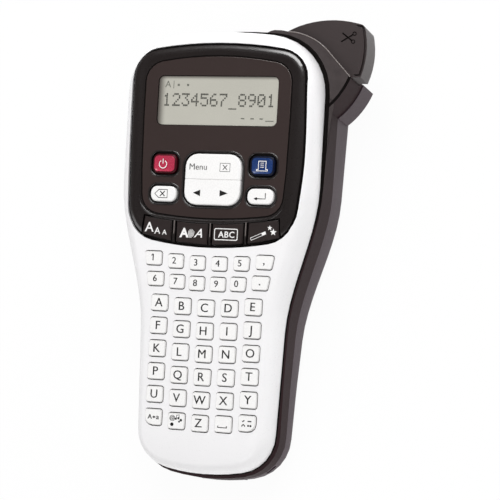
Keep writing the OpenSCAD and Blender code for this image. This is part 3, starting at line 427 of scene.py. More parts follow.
def raiseLens(bm):
    for v in bm.verts:
        p = toFace @ v.co
        if abs(p.z + lens["sunk"]) < 0.1:
            v.co = faceMatrix @ Vector((p.x, p.y, -lens["shown"]))


dressedPart("display_lens", "displayLens", "lens", caseEdge["lens"], 2, materials=[displayPane],
            shape=raiseLens)
print("case dressed")

# the keyboard's own layout (mm): the rows are shallow arcs, and drift a little to the right
layout = dict(column=10.9, row=10.0, arc=165.0, digitArc=220.0, shift=0.5, drift=0.05,
              digitRows={1: (19.4, (5.1, 15.3, 25.8)), 2: (10.5, (4.9, 14.2, 24.4))})


def capPlace(row, column):
    if row < 3:
        y, xs = layout["digitRows"][row]
        x = xs[column] if column >= 0 else -xs[-column - 1]
        return x + layout["shift"], y + layout["digitArc"] - math.sqrt(layout["digitArc"] ** 2 - x * x)
    x = column * layout["column"]
    return (x + layout["shift"] + (row - 3) * layout["drift"],
            -(row - 3) * layout["row"] + layout["arc"] - math.sqrt(layout["arc"] ** 2 - x * x))


# Caps: rounded edges; a white cap is a little shorter than its hole, so the gap shows above and
# below it, and reaches further to the left, which half closes the gap there. What lies more than
# outer from a white cap's middle, or less than head from a dark one's upper end, moves (mm).
capEdge = dict(white=0.35, dark=0.3, colour=0.3, shorten=0.17, close=0.14, outer=2, topSlope=1.0,
               slopeDrop=0.5, narrow=0.32, head=3)


def shortenCaps(row):
    middles = [capPlace(row, c) for c in (range(-3, 3) if row < 3 else range(-2, 3))]

    def shape(bm):
        for v in bm.verts:
            p = toFace @ v.co
            middle = min(middles, key=lambda m: (m[0] - p.x) ** 2 + (m[1] - p.y) ** 2)
            if abs(p.y - middle[1]) > capEdge["outer"]:
                p.y -= math.copysign(capEdge["shorten"], p.y - middle[1])
            if p.x < middle[0] - capEdge["outer"]:
                p.x -= capEdge["close"]
            v.co = faceMatrix @ p
    return shape


# a coloured cap's top keeps its colour, and its border and flanks get the painted shade
def colourCapShadePick(f):
    return 0 if facing(f) > upward["colourTop"] else 1


# a white cap's left flank gets its top's colour, and its other flanks the painted shade of the gap
def whiteCapShadePick(f):
    return 0 if facing(f) > upward["capTop"] or f.normal.x < -0.3 else 1


# a dark cap's flanks are painted near-black as the shade in its hole
def darkCapShadePick(f):
    return 0 if facing(f) > upward["capTop"] else 1


# the coloured keys rise on a sloping border to a flat top
def slopeTop(bm):
    crest = max((toFace @ v.co).z for v in bm.verts)
    top = [f for f in bm.faces if colourCapShadePick(f) == 0 and crest - depthOf(f.calc_center_median()) < 0.05]
    outer = {v for f in top for v in f.verts}
    bmesh.ops.inset_region(bm, faces=top, thickness=capEdge["topSlope"] / 1000, depth=0,
                           use_even_offset=True, use_boundary=True)
    for v in outer:
        if any(f not in top for f in v.link_faces):
            p = toFace @ v.co
            p.z -= capEdge["slopeDrop"]
            v.co = faceMatrix @ p


for row in range(1, 9):
    dressedPart(f"key_row_{row}", f"keyCaps{row}", "key_white", capEdge["white"],
                materials=[whiteKeycap, whiteKeyPaintedShade], pick=whiteCapShadePick, shape=shortenCaps(row))
for use in ("clear", "enter", "menu", "cursor"):
    dressedPart(f"{use}_key", f"{use}Key", "key_white", capEdge["white"], materials=[whiteKeycap])


# the dark caps are narrower than their holes, and shorter at the head, so the gaps read as black lines
def narrowCap(bm):
    bulge(bm)
    places = [toFace @ v.co for v in bm.verts if (toFace @ v.co).z > 0.05]
    middle = (min(p.x for p in places) + max(p.x for p in places)) / 2
    head = max(p.y for p in places)
    for v in bm.verts:
        p = toFace @ v.co
        p.x -= math.copysign(capEdge["narrow"], p.x - middle)
        if p.y > head - capEdge["head"]:
            p.y -= capEdge["narrow"]
        v.co = faceMatrix @ p


for use in ("size", "style", "frame", "deco"):
    dressedPart(f"{use}_key", f"{use}Key", "key_dark", capEdge["dark"], materials=[darkKeycap, paintedShadeDark],
                pick=darkCapShadePick, shape=narrowCap)
dressedPart("power_key", "powerKey", "key_red", capEdge["colour"], materials=[redKeycap, redKeyPaintedShade],
            pick=colourCapShadePick, shape=slopeTop)
dressedPart("print_key", "printKey", "key_blue", capEdge["colour"], materials=[blueKeycap, blueKeyPaintedShade],
            pick=colourCapShadePick, shape=slopeTop)
print("keys dressed")

# The other nodes stay as they are, and get their materials
carried = {
    "lcd_module": displayCell, "main_board": boardLacquer, "key_mat": siliconeMat,
    "bay_chassis": innerAbs, "battery_tray": innerAbs, "hinge_pin": springSteel,
    "lever_pin": springSteel, "lever_spring": springSteel, "blade_carrier": innerAbs,
    "cutter_blade": bladeSteel, "cutter_anvil": bladeSteel, "drive_motor": motorSteel,
    "motor_pinion": turnedBrass, "idler_gear": acetalGear, "platen_gear": acetalGear,
    "platen_roller": platenRubber, "print_head": innerAbs, "takeup_gear": acetalGear,
    "cassette_case": cassetteShell, "cassette_lid": cassetteShell, "tape_roll": tapeStock,
    "ribbon_roll": ribbonStock, "takeup_spool": innerAbs, "batteries": cellSleeve,
    "battery_springs": springSteel, "battery_contacts": platedContact, "shell_screws": springSteel}
for name, material in carried.items():
    if nodes[name].material_slots:
        for held in nodes[name].material_slots:
            held.material = material
    else:
        nodes[name].data.materials.append(material)


# All places are in mm in the keyboard face. lift is the height of the surface that a legend sits
# on, bow the drift of the letters outwards in a row, and heavier the shift of a doubled text.
legend = dict(lift=0.5, functionLift=0.9, styleLift=0.4, ink=0.03, letter=3.85, digit=2.95, mark=3.6,
              shift=-0.66, digitShift=-0.78, endShift=0.5, bow=0.085, heavier=0.05, capHeight=0.72)


def addPart(bm, part, place):
    part.transform(place)
    flat = bpy.data.meshes.new("part")
    part.to_mesh(flat)
    part.free()
    bm.from_mesh(flat)
    bpy.data.meshes.remove(flat)


def addCurve(bm, curve, place):
    carrier = bpy.data.objects.new("carrier", curve)
    bpy.context.scene.collection.objects.link(carrier)
    bpy.context.view_layer.update()
    mesh = bpy.data.meshes.new_from_object(carrier.evaluated_get(bpy.context.evaluated_depsgraph_get()))
    bpy.data.objects.remove(carrier)
    part = bmesh.new()
    part.from_mesh(mesh)
    bpy.data.meshes.remove(mesh)
    addPart(bm, part, place)


# Text as a thin slab of ink; height is the capital letters' height
def addText(bm, words, x, y, z, height, thicken=0.0, slant=0.0, spacing=1.0):
    curve = bpy.data.curves.new("words", "FONT")
    curve.body = words
    curve.size = height / legend["capHeight"]
    curve.align_x = "CENTER"
    curve.align_y = "CENTER"
    curve.offset = thicken
    curve.shear = slant
    curve.space_character = spacing
    curve.extrude = legend["ink"] / 2
    curve.resolution_u = 3
    addCurve(bm, curve, Matrix.Translation((x, y, z + legend["ink"] / 2)))


# Two slabs side by side make a heavier letter
def addHeavyText(bm, words, x, y, z, height, heavier=legend["heavier"]):
    for shift in (-heavier, heavier):
        addText(bm, words, x + shift, y, z, height)


# A drawn line of a given width, flattened to a slab of ink or to a low ridge; it thins out over
# its first and last points, as many as taper says
def addLine(bm, points, x, y, z, width, closed=False, height=None, rounds=1, taper=0):
    height = height or legend["ink"]
    curve = bpy.data.curves.new("line", "CURVE")
    curve.dimensions = "3D"
    curve.bevel_depth = width / 2
    curve.bevel_resolution = rounds
    curve.use_fill_caps = True
    spline = curve.splines.new("POLY")
    spline.points.add(len(points) - 1)
    for i, (p, q) in enumerate(zip(spline.points, points)):
        p.co = (q[0], q[1], 0, 1)
        if taper:    # the ends keep a little width
            p.radius = min(1, (min(i, len(points) - 1 - i) + 0.3) / taper)
    spline.use_cyclic_u = closed
    squeeze = Matrix.Diagonal((1, 1, height / width, 1))
    addCurve(bm, curve, Matrix.Translation((x, y, z + height / 2)) @ squeeze)


# A filled outline as a slab of ink
def addFill(bm, points, x, y, z):
    part = bmesh.new()
    floor = part.faces.new([part.verts.new((px, py, 0)) for px, py in points])
    raised = bmesh.ops.extrude_face_region(part, geom=[floor])
    top = [g for g in raised["geom"] if isinstance(g, bmesh.types.BMVert)]
    bmesh.ops.translate(part, verts=top, vec=(0, 0, legend["ink"]))
    bmesh.ops.recalc_face_normals(part, faces=part.faces)
    addPart(bm, part, Matrix.Translation((x, y, z)))


def arcPoints(radius, start, stop, steps=20, cx=0, cy=0):
    turns = [math.radians(start + (stop - start) * i / steps) for i in range(steps + 1)]
    return [(cx + radius * math.cos(turn), cy + radius * math.sin(turn)) for turn in turns]


def spotPoints(radius, steps=10):
    return arcPoints(radius, 0, 340, steps)


# A piece that was drawn in the keyboard face goes to its place
def facePiece(name, bm, body, slot, material, smooth=None):
    bm.transform(faceMatrix)
    if smooth is not None:
        for f in bm.faces:
            f.smooth = smooth
    newPiece(name, bm, body, slot, material)


def inkPiece(name, bm, body, slot, material):
    facePiece(name, bm, body, slot, material, smooth=False)


keyText = {3: "ABCDE", 4: "FGHIJ", 5: "KLMNO", 6: "PQRST", 7: "UVWXY"}
lift = legend["lift"]


def printDigits(bm, row):
    for column, digit in zip(range(-3, 3), "12345," if row == 1 else "67890."):
        x, y = capPlace(row, column)
        x += legend["digitShift"]
        if column in (-3, 2):
            x += legend["endShift"]
        if digit == "1":    # a longer flag than the font's
            addLine(bm, [(-0.85, 0.95), (-0.05, 1.7)], x, y + 0.1, lift, 0.42)
        if digit in ",.":
            addHeavyText(bm, digit, x, y + 0.7, lift, legend["mark"])
        else:
            addHeavyText(bm, digit, x, y + 0.1, lift, legend["digit"])


def printLetters(bm, row):
    for column, letter in zip(range(-2, 3), keyText[row]):
        x, y = capPlace(row, column)
        x += legend["shift"] + legend["bow"] * column ** 2
        addHeavyText(bm, letter, x, y - 0.05, lift, legend["letter"])


# the last row: case shift, symbols, Z, space bar and accents
def printSigns(bm):
    x, y = capPlace(8, -2)
    addHeavyText(bm, "A", x - 1.65, y, lift, 2.1, 0.07)
    addHeavyText(bm, "a", x + 2.0, y + 0.1, lift, 2.3, 0.07)
    addFill(bm, [(-0.6, 0), (0.2, 0.65), (0.2, -0.65)], x + 0.1, y, lift)
    addFill(bm, [(-0.3, -0.3), (0.3, -0.3), (0.3, 0.3), (-0.3, 0.3)], x + 0.65, y, lift)
    x, y = capPlace(8, -1)
    addHeavyText(bm, "@", x - 2.0, y + 1.35, lift, 1.9, 0.06)
    addLine(bm, [(0, 0), (0, 1.5), (1.2, 1.8), (1.2, 0.3)], x, y + 1.0, lift, 0.34)
    for dx, dy, dot in ((-0.3, 1.0, 0.5), (0.9, 1.3, 0.5), (2.1, 0.5, 0.58), (1.3, -0.2, 0.42),
                        (-2.0, -1.5, 0.8)):
        addFill(bm, spotPoints(dot), x + dx, y + dy, lift)
    x, y = capPlace(8, 0)
    addHeavyText(bm, "Z", x + legend["shift"], y, lift, legend["letter"])
    x, y = capPlace(8, 1)
    addLine(bm, [(-2.0, 0.7), (-2.0, 0), (2.0, 0), (2.0, 0.7)], x - 0.45, y - 1.4, lift, 0.5)
    x, y = capPlace(8, 2)
    addLine(bm, [(0, 0), (0.9, 0.6)], x - 2.2, y + 0.7, lift, 0.5)
    addLine(bm, [(0, 0), (1.7, 0)], x + 0.2, y + 1.0, lift, 0.5)
    addLine(bm, [(0, 0), (0.8, 0.9), (1.6, 0)], x - 2.5, y - 1.3, lift, 0.52)
    for dx in (0.5, 1.6):
        addFill(bm, spotPoints(0.46, 8), x + dx, y - 0.9, lift)


for row in range(1, 9):
    bm = bmesh.new()
    if row < 3:
        printDigits(bm, row)
    elif row < 8:
        printLetters(bm, row)
    else:
        printSigns(bm)
    inkPiece(f"legendRow{row}", bm, f"key_row_{row}_body", "key_dark", blackInk if row == 8 else greyInk)
print("key legends printed")

pad = dict(x=0.2, y=56.1, width=26.0, height=22.4, corner=5.5)
function = dict(power=(-22.7, 62.6), printing=(22.9, 62.6), clear=(-22.5, 49.3), enter=(22.7, 49.3))
high = legend["functionLift"]

bm = bmesh.new()
addText(bm, "Menu", pad["x"] - 6.9, pad["y"] + 5.3, high, 2.75)
x, y = pad["x"] + 5.6, pad["y"] + 5.4
addLine(bm, [(-2.3, -1.8), (2.3, -1.8), (2.3, 1.8), (-2.3, 1.8)], x, y, high, 0.3, closed=True)
addLine(bm, [(-1.0, -1.05), (1.0, 1.05)], x, y, high, 0.36)
addLine(bm, [(-1.0, 1.05), (1.0, -1.05)], x, y, high, 0.36)
inkPiece("legendMenu", bm, "menu_key_body", "key_dark", greyInk)

bm = bmesh.new()
addFill(bm, [(-1.8, 0), (1.6, 1.4), (1.6, -1.4)], pad["x"] - 6.9, pad["y"] - 6.0, high)
addFill(bm, [(1.9, 0), (-1.8, -1.4), (-1.8, 1.4)], pad["x"] + 5.6, pad["y"] - 5.9, high)
inkPiece("legendCursor", bm, "cursor_key_body", "key_dark", blackInk)

bm = bmesh.new()
x, y = function["clear"][0] - 0.95, function["clear"][1]
addLine(bm, [(-3.0, 0), (-1.1, 1.8), (2.9, 1.8), (2.9, -1.8), (-1.1, -1.8)], x, y, high, 0.36, closed=True)
addLine(bm, [(-0.5, -1.1), (1.7, 1.1)], x, y, high, 0.46)
addLine(bm, [(-0.5, 1.1), (1.7, -1.1)], x, y, high, 0.46)
inkPiece("legendClear", bm, "clear_key_body", "key_dark", blackInk)

bm = bmesh.new()
x, y = function["enter"]
addLine(bm, [(2.4, 1.5), (2.4, -1.0), (-1.7, -1.0)], x, y, high, 0.42)
addFill(bm, [(-2.9, -1.0), (-1.5, -0.35), (-1.2, -1.0), (-1.5, -1.65)], x, y, high)
addFill(bm, spotPoints(0.5), x - 1.9, y - 1.0, high)
inkPiece("legendEnter", bm, "enter_key_body", "key_dark", blackInk)

bm = bmesh.new()
x, y = function["power"][0] - 0.7, function["power"][1] - 0.3
addLine(bm, arcPoints(1.75, 122, 418, 26), x, y, high, 0.36)
addLine(bm, [(0, 0.2), (0, 2.4)], x, y, high, 0.36)
inkPiece("legendPower", bm, "power_key_body", "key_white", whiteInk)

bm = bmesh.new()
x, y = function["printing"]
sheet = [(-2.5, -1.5), (-1.7, -1.5), (-1.7, 2.1), (1.7, 2.1), (1.7, -1.5), (2.5, -1.5), (2.5, -2.1),
         (-2.5, -2.1)]
addLine(bm, sheet, x, y - 0.1, high, 0.42, closed=True)
for dy in (-0.9, 0.0, 0.9):
    addLine(bm, [(-0.8, dy), (0.8, dy)], x, y + 0.3, high, 0.24)
inkPiece("legendPrint", bm, "print_key_body", "key_white", whiteInk)

styleY = 32.4
flat = legend["styleLift"]
bm = bmesh.new()
addText(bm, "A", -28.3, styleY + 1.9, flat, 4.4, 0.05)
addText(bm, "A", -24.4, styleY + 0.5, flat, 2.9, 0.04)
addText(bm, "A", -21.0, styleY - 0.1, flat, 2.2, 0.03)
inkPiece("legendSize", bm, "size_key_body", "key_white", whiteInk)

bm = bmesh.new()
addText(bm, "A", -11.7, styleY - 0.1, flat, 4.0, 0.2)
for i in range(6):    # a leaf of slanting strokes, shorter towards its ends
    reach = (1.2, 1.8, 2.0, 1.9, 1.5, 0.9)[i]
    addLine(bm, [(-1.2 + 0.5 * i, -reach), (-0.9 + 0.5 * i, reach * 0.95)], -8.6, styleY - 0.1, flat, 0.24)
addText(bm, "A", -5.1, styleY - 0.1, flat, 4.0, 0.04, 0.35)
inkPiece("legendStyle", bm, "style_key_body", "key_white", whiteInk)

bm = bmesh.new()
box = [(-5.3, -2.0), (-4.9, -2.4), (4.9, -2.4), (5.3, -2.0), (5.3, 2.0), (4.9, 2.4), (-4.9, 2.4),
       (-5.3, 2.0)]
addLine(bm, box, 7.8, styleY, flat, 0.42, closed=True)
addText(bm, "ABC", 8.1, styleY - 0.2, flat, 2.7, 0.06, spacing=1.08)
inkPiece("legendFrame", bm, "frame_key_body", "key_white", whiteInk)

# a wand with a filled tip, and two stars over it
wand = dict(lean=24, x=19.4, down=1.6, length=7.2, tip=5.4, half=0.55, tipHalf=0.5)
along = Vector((math.cos(math.radians(wand["lean"])), math.sin(math.radians(wand["lean"]))))
across = Vector((-along.y, along.x))
start = Vector((wand["x"], styleY - wand["down"]))


def wandPoints(first, half):
    corners = ((first, -half), (wand["length"], -half), (wand["length"], half), (first, half))
    return [tuple(start + along * a + across * b) for a, b in corners]


def starPoints(radius, tips=5, waist=0.42):
    points = []
    for i in range(2 * tips):
        reach = radius * (1 if i % 2 == 0 else waist)
        points.append((reach * math.sin(math.pi * i / tips), reach * math.cos(math.pi * i / tips)))
    return points


bm = bmesh.new()
addLine(bm, wandPoints(0, wand["half"]), 0, 0, flat, 0.3, closed=True)
addFill(bm, wandPoints(wand["tip"], wand["tipHalf"]), 0, 0, flat)
for x, y, radius in ((27.8, styleY + 3.5, 1.2), (29.5, styleY + 1.7, 1.6)):
    addFill(bm, starPoints(radius), x, y, flat)
inkPiece("legendDeco", bm, "deco_key_body", "key_white", whiteInk)
print("function legends printed")


# A rounded rectangle as a closed line round the middle
def pillPoints(width, height, corner):
    points = []
    for cx, cy, first in ((1, 1, 0), (-1, 1, 90), (-1, -1, 180), (1, -1, 270)):
        points += arcPoints(corner, first, first + 90, 6,
                            cx * (width / 2 - corner), cy * (height / 2 - corner))
    return points


# The moulded lip round each function key's moat; the keys by width, height and corner
lip = dict(out=1.25, width=0.75, height=0.34)
bm = bmesh.new()
for place, width, height, corner in (
        (function["power"], 11.2, 8.6, 2.6), (function["printing"], 11.2, 8.6, 2.6),
        (function["clear"], 12.0, 6.8, 2.8), (function["enter"], 12.0, 6.8, 2.8),
        ((pad["x"], pad["y"]), pad["width"], pad["height"], pad["corner"])):
    ring = pillPoints(width + 2 * lip["out"], height + 2 * lip["out"], corner + lip["out"])
    addLine(bm, ring, *place, -lip["height"] / 2, lip["width"], closed=True, height=lip["height"], rounds=3)
facePiece("moatLips", bm, "case", "panel", glossRim, smooth=True)

# Round the panel: a thin near-black line, painted shade for the groove under the rim, and inside it a fine
# raised edge painted light as a highlight over a run of directions (degrees). Short ribs between the style
# keys, painted light the same way, end along an arc.
trim = dict(grooveIn=0.3, groove=0.6, grooveTop=0.02, edgeIn=0.8, edge=0.34, edgeTop=0.17,
            edgeRun=(12, 104), taper=9, ribs=(-16.6, 0.3, 16.75), ribHead=37.6, ribFoot=29.2,
            ribArc=200, footBend=1.4, ribBase=0.24, rib=0.4, ribTop=0.2)


def middleOf(points):
    return sum(p[0] for p in points) / len(points), sum(p[1] for p in points) / len(points)


def insetLoop(points, by):
    middle = middleOf(points)
    moved = []
    for i, p in enumerate(points):
        before, after = points[i - 1], points[(i + 1) % len(points)]
        along = Vector((after[0] - before[0], after[1] - before[1])).normalized()
        inward = Vector((-along.y, along.x))
        if inward.dot(Vector((middle[0] - p[0], middle[1] - p[1]))) < 0:
            inward = -inward
        moved.append((p[0] + inward.x * by, p[1] + inward.y * by))
    return moved


def borderRun(points, start, stop):
    # the part of the border that is seen between two directions from its middle
    middle = middleOf(points)
    swept = sorted((math.degrees(math.atan2(p[1] - middle[1], p[0] - middle[0])) % 360, p) for p in points)
    return [p for turn, p in swept if start <= turn <= stop]


bm = bmesh.new()
addLine(bm, insetLoop(panelBorder, trim["grooveIn"]), 0, 0, 0, trim["groove"], closed=True,
        height=trim["grooveTop"])
facePiece("panelGroovePaintedShade", bm, "case", "panel", paintedShadeDark)

bm = bmesh.new()
addLine(bm, borderRun(insetLoop(panelBorder, trim["edgeIn"]), *trim["edgeRun"]), 0, 0, 0, trim["edge"],
        height=trim["edgeTop"], taper=trim["taper"])
for x in trim["ribs"]:
    rise = x ** 2 / (2 * trim["ribArc"])
    addLine(bm, [(0, trim["ribFoot"] + trim["footBend"] * rise), (0, trim["ribHead"] + rise)], x, 0,
            trim["ribBase"], trim["rib"], height=trim["ribTop"])
facePiece("panelEdgePaintedHighlight", bm, "case", "panel", paintedHighlightEdge, smooth=True)

# A near-black strip of painted shade follows the white shell's foot as its seam, and widens over the deck on
# the lever's side
seam = dict(out=0.1, width=0.9, top=-13.45, height=0.9, deckOut=0.85, deckWidth=2.3, deckTop=-13.6,
            deckHeight=0.12, run=(3, 90), step=1.5, taper=26)


def evenly(points, step):
    # the same line with its points a step apart
    spread, carried = [points[0]], 0.0
    for a, b in zip(points, points[1:]):
        reach = math.dist(a, b)
        while carried + reach >= step:
            t = (step - carried) / reach
            a = (a[0] + (b[0] - a[0]) * t, a[1] + (b[1] - a[1]) * t)
            spread.append(a)
            reach, carried = math.dist(a, b), 0.0
        carried += reach
    return spread


bm = bmesh.new()
addLine(bm, insetLoop(shellFoot, -seam["out"]), 0, 0, seam["top"] - seam["height"], seam["width"],
        closed=True, height=seam["height"])
overDeck = evenly(borderRun(insetLoop(shellFoot, -seam["deckOut"]), *seam["run"]), seam["step"])
addLine(bm, overDeck, 0, 0, seam["deckTop"] - seam["deckHeight"], seam["deckWidth"],
        height=seam["deckHeight"], taper=seam["taper"])
facePiece("shellSeamPaintedShade", bm, "case", "frame", paintedShadeDark)

# The rim swells softly outside the groove, round the panel's lower left corner and along its foot
swell = dict(out=0.95, width=1.6, foot=0.1, top=0.42, run=(196, 338))
bm = bmesh.new()
addLine(bm, borderRun(insetLoop(panelBorder, -swell["out"]), *swell["run"]), 0, 0,
        swell["foot"] - swell["top"] / 2, swell["width"], height=swell["top"] * 2, rounds=4,
        taper=trim["taper"])
facePiece("rimSwell", bm, "case", "panel", glossRim, smooth=True)

# A white web closes the split in the pad, a little below its top
web = dict(width=0.16, reach=12.7, foot=-0.4, top=0.62)
webX, webY = web["reach"], web["width"] / 2
bm = bmesh.new()
addFill(bm, [(-webX, -webY), (webX, -webY), (webX, webY), (-webX, webY)], pad["x"], pad["y"], web["foot"])
bmesh.ops.scale(bm, verts=bm.verts, vec=(1, 1, (web["top"] - web["foot"]) / legend["ink"]),
                space=Matrix.Translation((0, 0, -web["foot"])))
facePiece("padWeb", bm, "case", "key_white", whiteKeycap)

# Scissors on the lever's top, their low raised strokes painted near-black as shade; the open blades point
# towards the case, and each one stops at its ring
scissors = dict(x=53.5, y=121.3, depth=15.85, rise=0.1, line=0.62, blade=0.86, ring=0.75, ringLine=0.4)
bm = bmesh.new()
for bladeTip, ring in (((-2.9, 1.9), (2.1, -1.9)), ((-3.3, -1.9), (2.6, 1.6))):
    stop = Vector(bladeTip) + (Vector(ring) - Vector(bladeTip)) * scissors["blade"]
    addLine(bm, [bladeTip, tuple(stop)], scissors["x"], scissors["y"], -scissors["depth"],
            scissors["line"], height=scissors["rise"])
    addLine(bm, arcPoints(scissors["ring"], 0, 360, 14, *ring)[:-1], scissors["x"], scissors["y"],
            -scissors["depth"], scissors["ringLine"], closed=True, height=scissors["rise"])
facePiece("leverScissors", bm, nodes["cutter_lever"]["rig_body"], "lever", paintedShadeDark)

# The deck beside the lever ends in a fine edge painted light as a highlight, and in a line painted dark as
# the shade of the gap before the nose (places in plan, mm)
deck = dict(seam=((26.5, 98.2), (37.4, 95.4), (46.4, 88.4)), nose=(24.0, 91.2), noseRadius=34.05,
            fromTurn=-21.6, toTurn=-50.4, depth=13.7, sunk=0.02, edge=0.42, edgeTop=0.16, gap=1.3,
            gapTop=0.05)


def arcThrough(a, b, c, steps):
    a, b, c = Vector(a), Vector(b), Vector(c)
    cross = 2 * ((b - a).x * (c - a).y - (b - a).y * (c - a).x)
    one, two = (b - a).length_squared, (c - a).length_squared
    middle = a + Vector(((c - a).y * one - (b - a).y * two, (b - a).x * two - (c - a).x * one)) / cross
    start, stop = (math.degrees(math.atan2((p - middle).y, (p - middle).x)) for p in (a, c))
    return arcPoints((a - middle).length, start, stop, steps, *middle)


def planToFace(point, depth):
    # a plan place, raised to the plane that lies depth under the face
    turn = math.radians(face["tilt"])
    across = (point[1] - face["y"] - depth * math.sin(turn)) / math.cos(turn)
    return point[0], across


noseArc = arcPoints(deck["noseRadius"], deck["fromTurn"], deck["toTurn"], 12, *deck["nose"])
deckSeam = arcThrough(*deck["seam"], 12) + [noseArc[0]]
for name, run, width, height, material in (("deckEdge", deckSeam, deck["edge"], deck["edgeTop"], paintedHighlightEdge),
                                           ("deckGap", noseArc, deck["gap"], deck["gapTop"], paintedShadeDark)):
    bm = bmesh.new()
    addLine(bm, [planToFace(p, deck["depth"]) for p in run], 0, 0, -deck["depth"] - deck["sunk"], width,
            height=height)
    facePiece(name, bm, "case", "frame", material)
print("moulded marks made")

# Display: plain numbers as a dot matrix
digitDots = {
    "0": "01110 10001 10011 10101 11001 10001 01110", "1": "00100 01100 00100 00100 00100 00100 01110",
    "2": "01110 10001 00001 00010 00100 01000 11111", "3": "11111 00010 00100 00010 00001 10001 01110",
    "4": "00010 00110 01010 10010 11111 00010 00010", "5": "11111 10000 11110 00001 00001 10001 01110",
    "6": "00110 01000 10000 11110 10001 10001 01110", "7": "11111 00001 00010 00100 01000 01000 01000",
    "8": "01110 10001 10001 01110 10001 10001 01110", "9": "01110 10001 10001 01111 00001 00010 01100"}
matrix = dict(left=-25.6, base=88.2, dot=0.66, dotShape=1.12, pitch=0.737, rowPitch=0.82,
              letterPitch=4.42, cursor=0.5, depth=-0.29)


def addDot(bm, x, y, w, h):
    addFill(bm, [(x, y), (x + w, y), (x + w, y + h), (x, y + h)], 0, 0, matrix["depth"])


bm = bmesh.new()
for place, digit in enumerate("1234567_8901"):
    left = matrix["left"] + place * matrix["letterPitch"]
    if digit == "_":    # the cursor lies under the numbers and is as wide as one
        addDot(bm, left, matrix["base"] - 1.5 * matrix["rowPitch"], 5 * matrix["pitch"], matrix["cursor"])
        continue
    for rowIndex, cells in enumerate(digitDots[digit].split()):
        y = matrix["base"] + (6 - rowIndex) * matrix["rowPitch"]
        for columnIndex, lit in enumerate(cells):
            if lit == "1":
                addDot(bm, left + columnIndex * matrix["pitch"], y, matrix["dot"],
                       matrix["dot"] * matrix["dotShape"])
inkPiece("displayNumbers", bm, "case", "display", displayDots)
bm = bmesh.new()
for x in (11.4, 15.8, 20.0):
    addDot(bm, x, 82.8, 1.6, 0.5)
addDot(bm, 22.7, 81.9, 3.8, 0.4)
addLine(bm, [(0, 0), (0, 3.4)], -20.9, 96.0, matrix["depth"], 0.3)
addText(bm, "A", -23.6, 97.7, matrix["depth"], 3.0)
for x in (-19.1, -14.7):
    addDot(bm, x, 97.1, 1.0, 0.9)
inkPiece("displayMarks", bm, "case", "display", displayGhost)
print("display drawn")

# The camera, in mm and degrees from the keyboard face: over its right side, a little towards the
# foot, and rolled a little
view = dict(right=19.52, up=25.3, back=844.83, yaw=19.88, pitch=-2.58, roll=3.27, lens=140.0)
yaw, pitch, roll = (math.radians(view[k]) for k in ("yaw", "pitch", "roll"))
back = Vector((math.sin(yaw) * math.cos(pitch), math.sin(pitch), math.cos(yaw) * math.cos(pitch)))
right = Vector((math.cos(yaw), 0, -math.sin(yaw)))
up = back.cross(right)
right, up = (math.cos(roll) * right + math.sin(roll) * up, -math.sin(roll) * right + math.cos(roll) * up)
eye = faceMatrix @ (right * view["right"] + up * view["up"] + back * view["back"])
turned = faceMatrix.to_3x3().normalized()
axes = Matrix((turned @ right, turned @ up, turned @ back)).transposed().to_4x4()
camera = bpy.data.objects.new("camera", bpy.data.cameras.new("camera"))
camera.data.lens = view["lens"]
camera.data.sensor_width = 36.0
camera.matrix_world = Matrix.Translation(eye) @ axes
bpy.context.scene.collection.objects.link(camera)
bpy.context.scene.camera = camera

# white table top: shown as white, with a share of the object's soft shadow
table = dict(size=3.0, drop=0.0002, shown=0.95)
tableMesh = bpy.data.meshes.new("tableTop")
bm = bmesh.new()
bmesh.ops.create_grid(bm, x_segments=1, y_segments=1, size=table["size"])
bmesh.ops.translate(bm, verts=bm.verts, vec=(0, 0, -table["drop"]))
bm.to_mesh(tableMesh)
bm.free()
tableTop = bpy.data.objects.new("tableTop", tableMesh)
bpy.context.scene.collection.objects.link(tableTop)
tableMaterial, tree = newMaterial("whiteTable")
paths = addNode(tree, "LightPath")
mirrored = addNode(tree, "Math", {
    0: paths.outputs["Is Glossy Ray"], 1: paths.outputs["Is Transmission Ray"]}, operation="MAXIMUM")
shown = addNode(tree, "Math", {
    0: paths.outputs["Is Camera Ray"], 1: table["shown"]}, operation="MULTIPLY")
share = addNode(tree, "Math", {0: shown.outputs[0], 1: mirrored.outputs[0]}, operation="MAXIMUM")
matt = addNode(tree, "BsdfDiffuse", {"Color": (0.9, 0.9, 0.9, 1)})
glow = addNode(tree, "Emission", {"Color": (1, 1, 1, 1), "Strength": 1.0})
mixed = addNode(tree, "MixShader", {0: share.outputs[0], 1: matt.outputs[0], 2: glow.outputs[0]})
addNode(tree, "OutputMaterial", {"Surface": mixed.outputs[0]})
tableMesh.materials.append(tableMaterial)

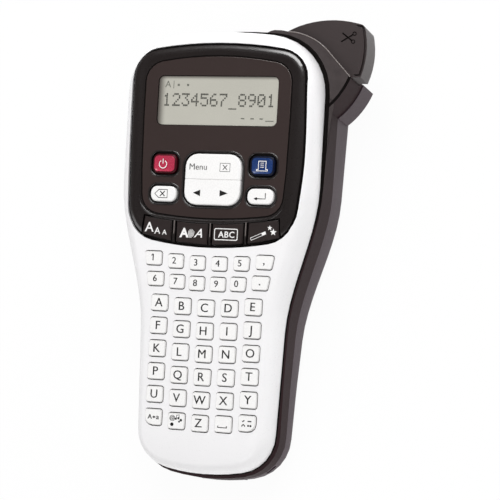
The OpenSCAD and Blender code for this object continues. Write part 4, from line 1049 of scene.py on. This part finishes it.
# The room: white behind everything that is seen, and a dark ceiling over the softboxes in reflections
room = dict(soft=0.51, ceiling=0.06, horizon=0.02, top=0.3)
world = bpy.data.worlds.new("studio")
bpy.context.scene.world = world
world.use_nodes = True
tree = world.node_tree
tree.nodes.clear()
paths = addNode(tree, "LightPath")
direction = addNode(tree, "SeparateXYZ", {"Vector": addNode(tree, "TexCoord").outputs["Generated"]})
fade = addNode(tree, "MapRange", {
    "Value": direction.outputs["Z"], "From Min": room["horizon"], "From Max": room["top"],
    "To Min": 1.0, "To Max": room["ceiling"]}, interpolation_type="SMOOTHSTEP")
seen = addNode(tree, "Math", {
    0: paths.outputs["Is Camera Ray"], 1: paths.outputs["Is Transmission Ray"]}, operation="MAXIMUM")
soft = addNode(tree, "Background", {"Color": (1, 1, 1, 1), "Strength": room["soft"]})
walls = addNode(tree, "Background", {"Color": (1, 1, 1, 1), "Strength": fade.outputs["Result"]})
plain = addNode(tree, "Background", {"Color": (1, 1, 1, 1), "Strength": 1.0})
gloss = addNode(tree, "MixShader", {
    0: paths.outputs["Is Glossy Ray"], 1: soft.outputs[0], 2: walls.outputs[0]})
mixed = addNode(tree, "MixShader", {0: seen.outputs[0], 1: gloss.outputs[0], 2: plain.outputs[0]})
addNode(tree, "OutputWorld", {"Surface": mixed.outputs[0]})


def addLamp(name, place, size, power):
    lamp = bpy.data.objects.new(name, bpy.data.lights.new(name, "AREA"))
    lamp.data.shape = "RECTANGLE"
    lamp.data.size, lamp.data.size_y = size
    lamp.data.energy = power
    lamp.location = place
    lamp.rotation_euler = (Vector((0, 0.02, 0.03)) - Vector(place)).to_track_quat("-Z", "Y").to_euler()
    bpy.context.scene.collection.objects.link(lamp)


addLamp("softboxTop", (0.12, 0.72, 0.95), (0.8, 0.5), 8.6)
addLamp("softboxLeft", (-0.95, -0.48, 0.6), (0.6, 0.5), 1.2)
addLamp("softboxBack", (0.38, 1.1, 0.28), (0.4, 0.2), 3.2)
addLamp("softboxFoot", (0.45, -0.95, 0.6), (0.8, 0.4), 3.4)
bpy.context.scene.view_settings.view_transform = "Standard"
print("studio set")
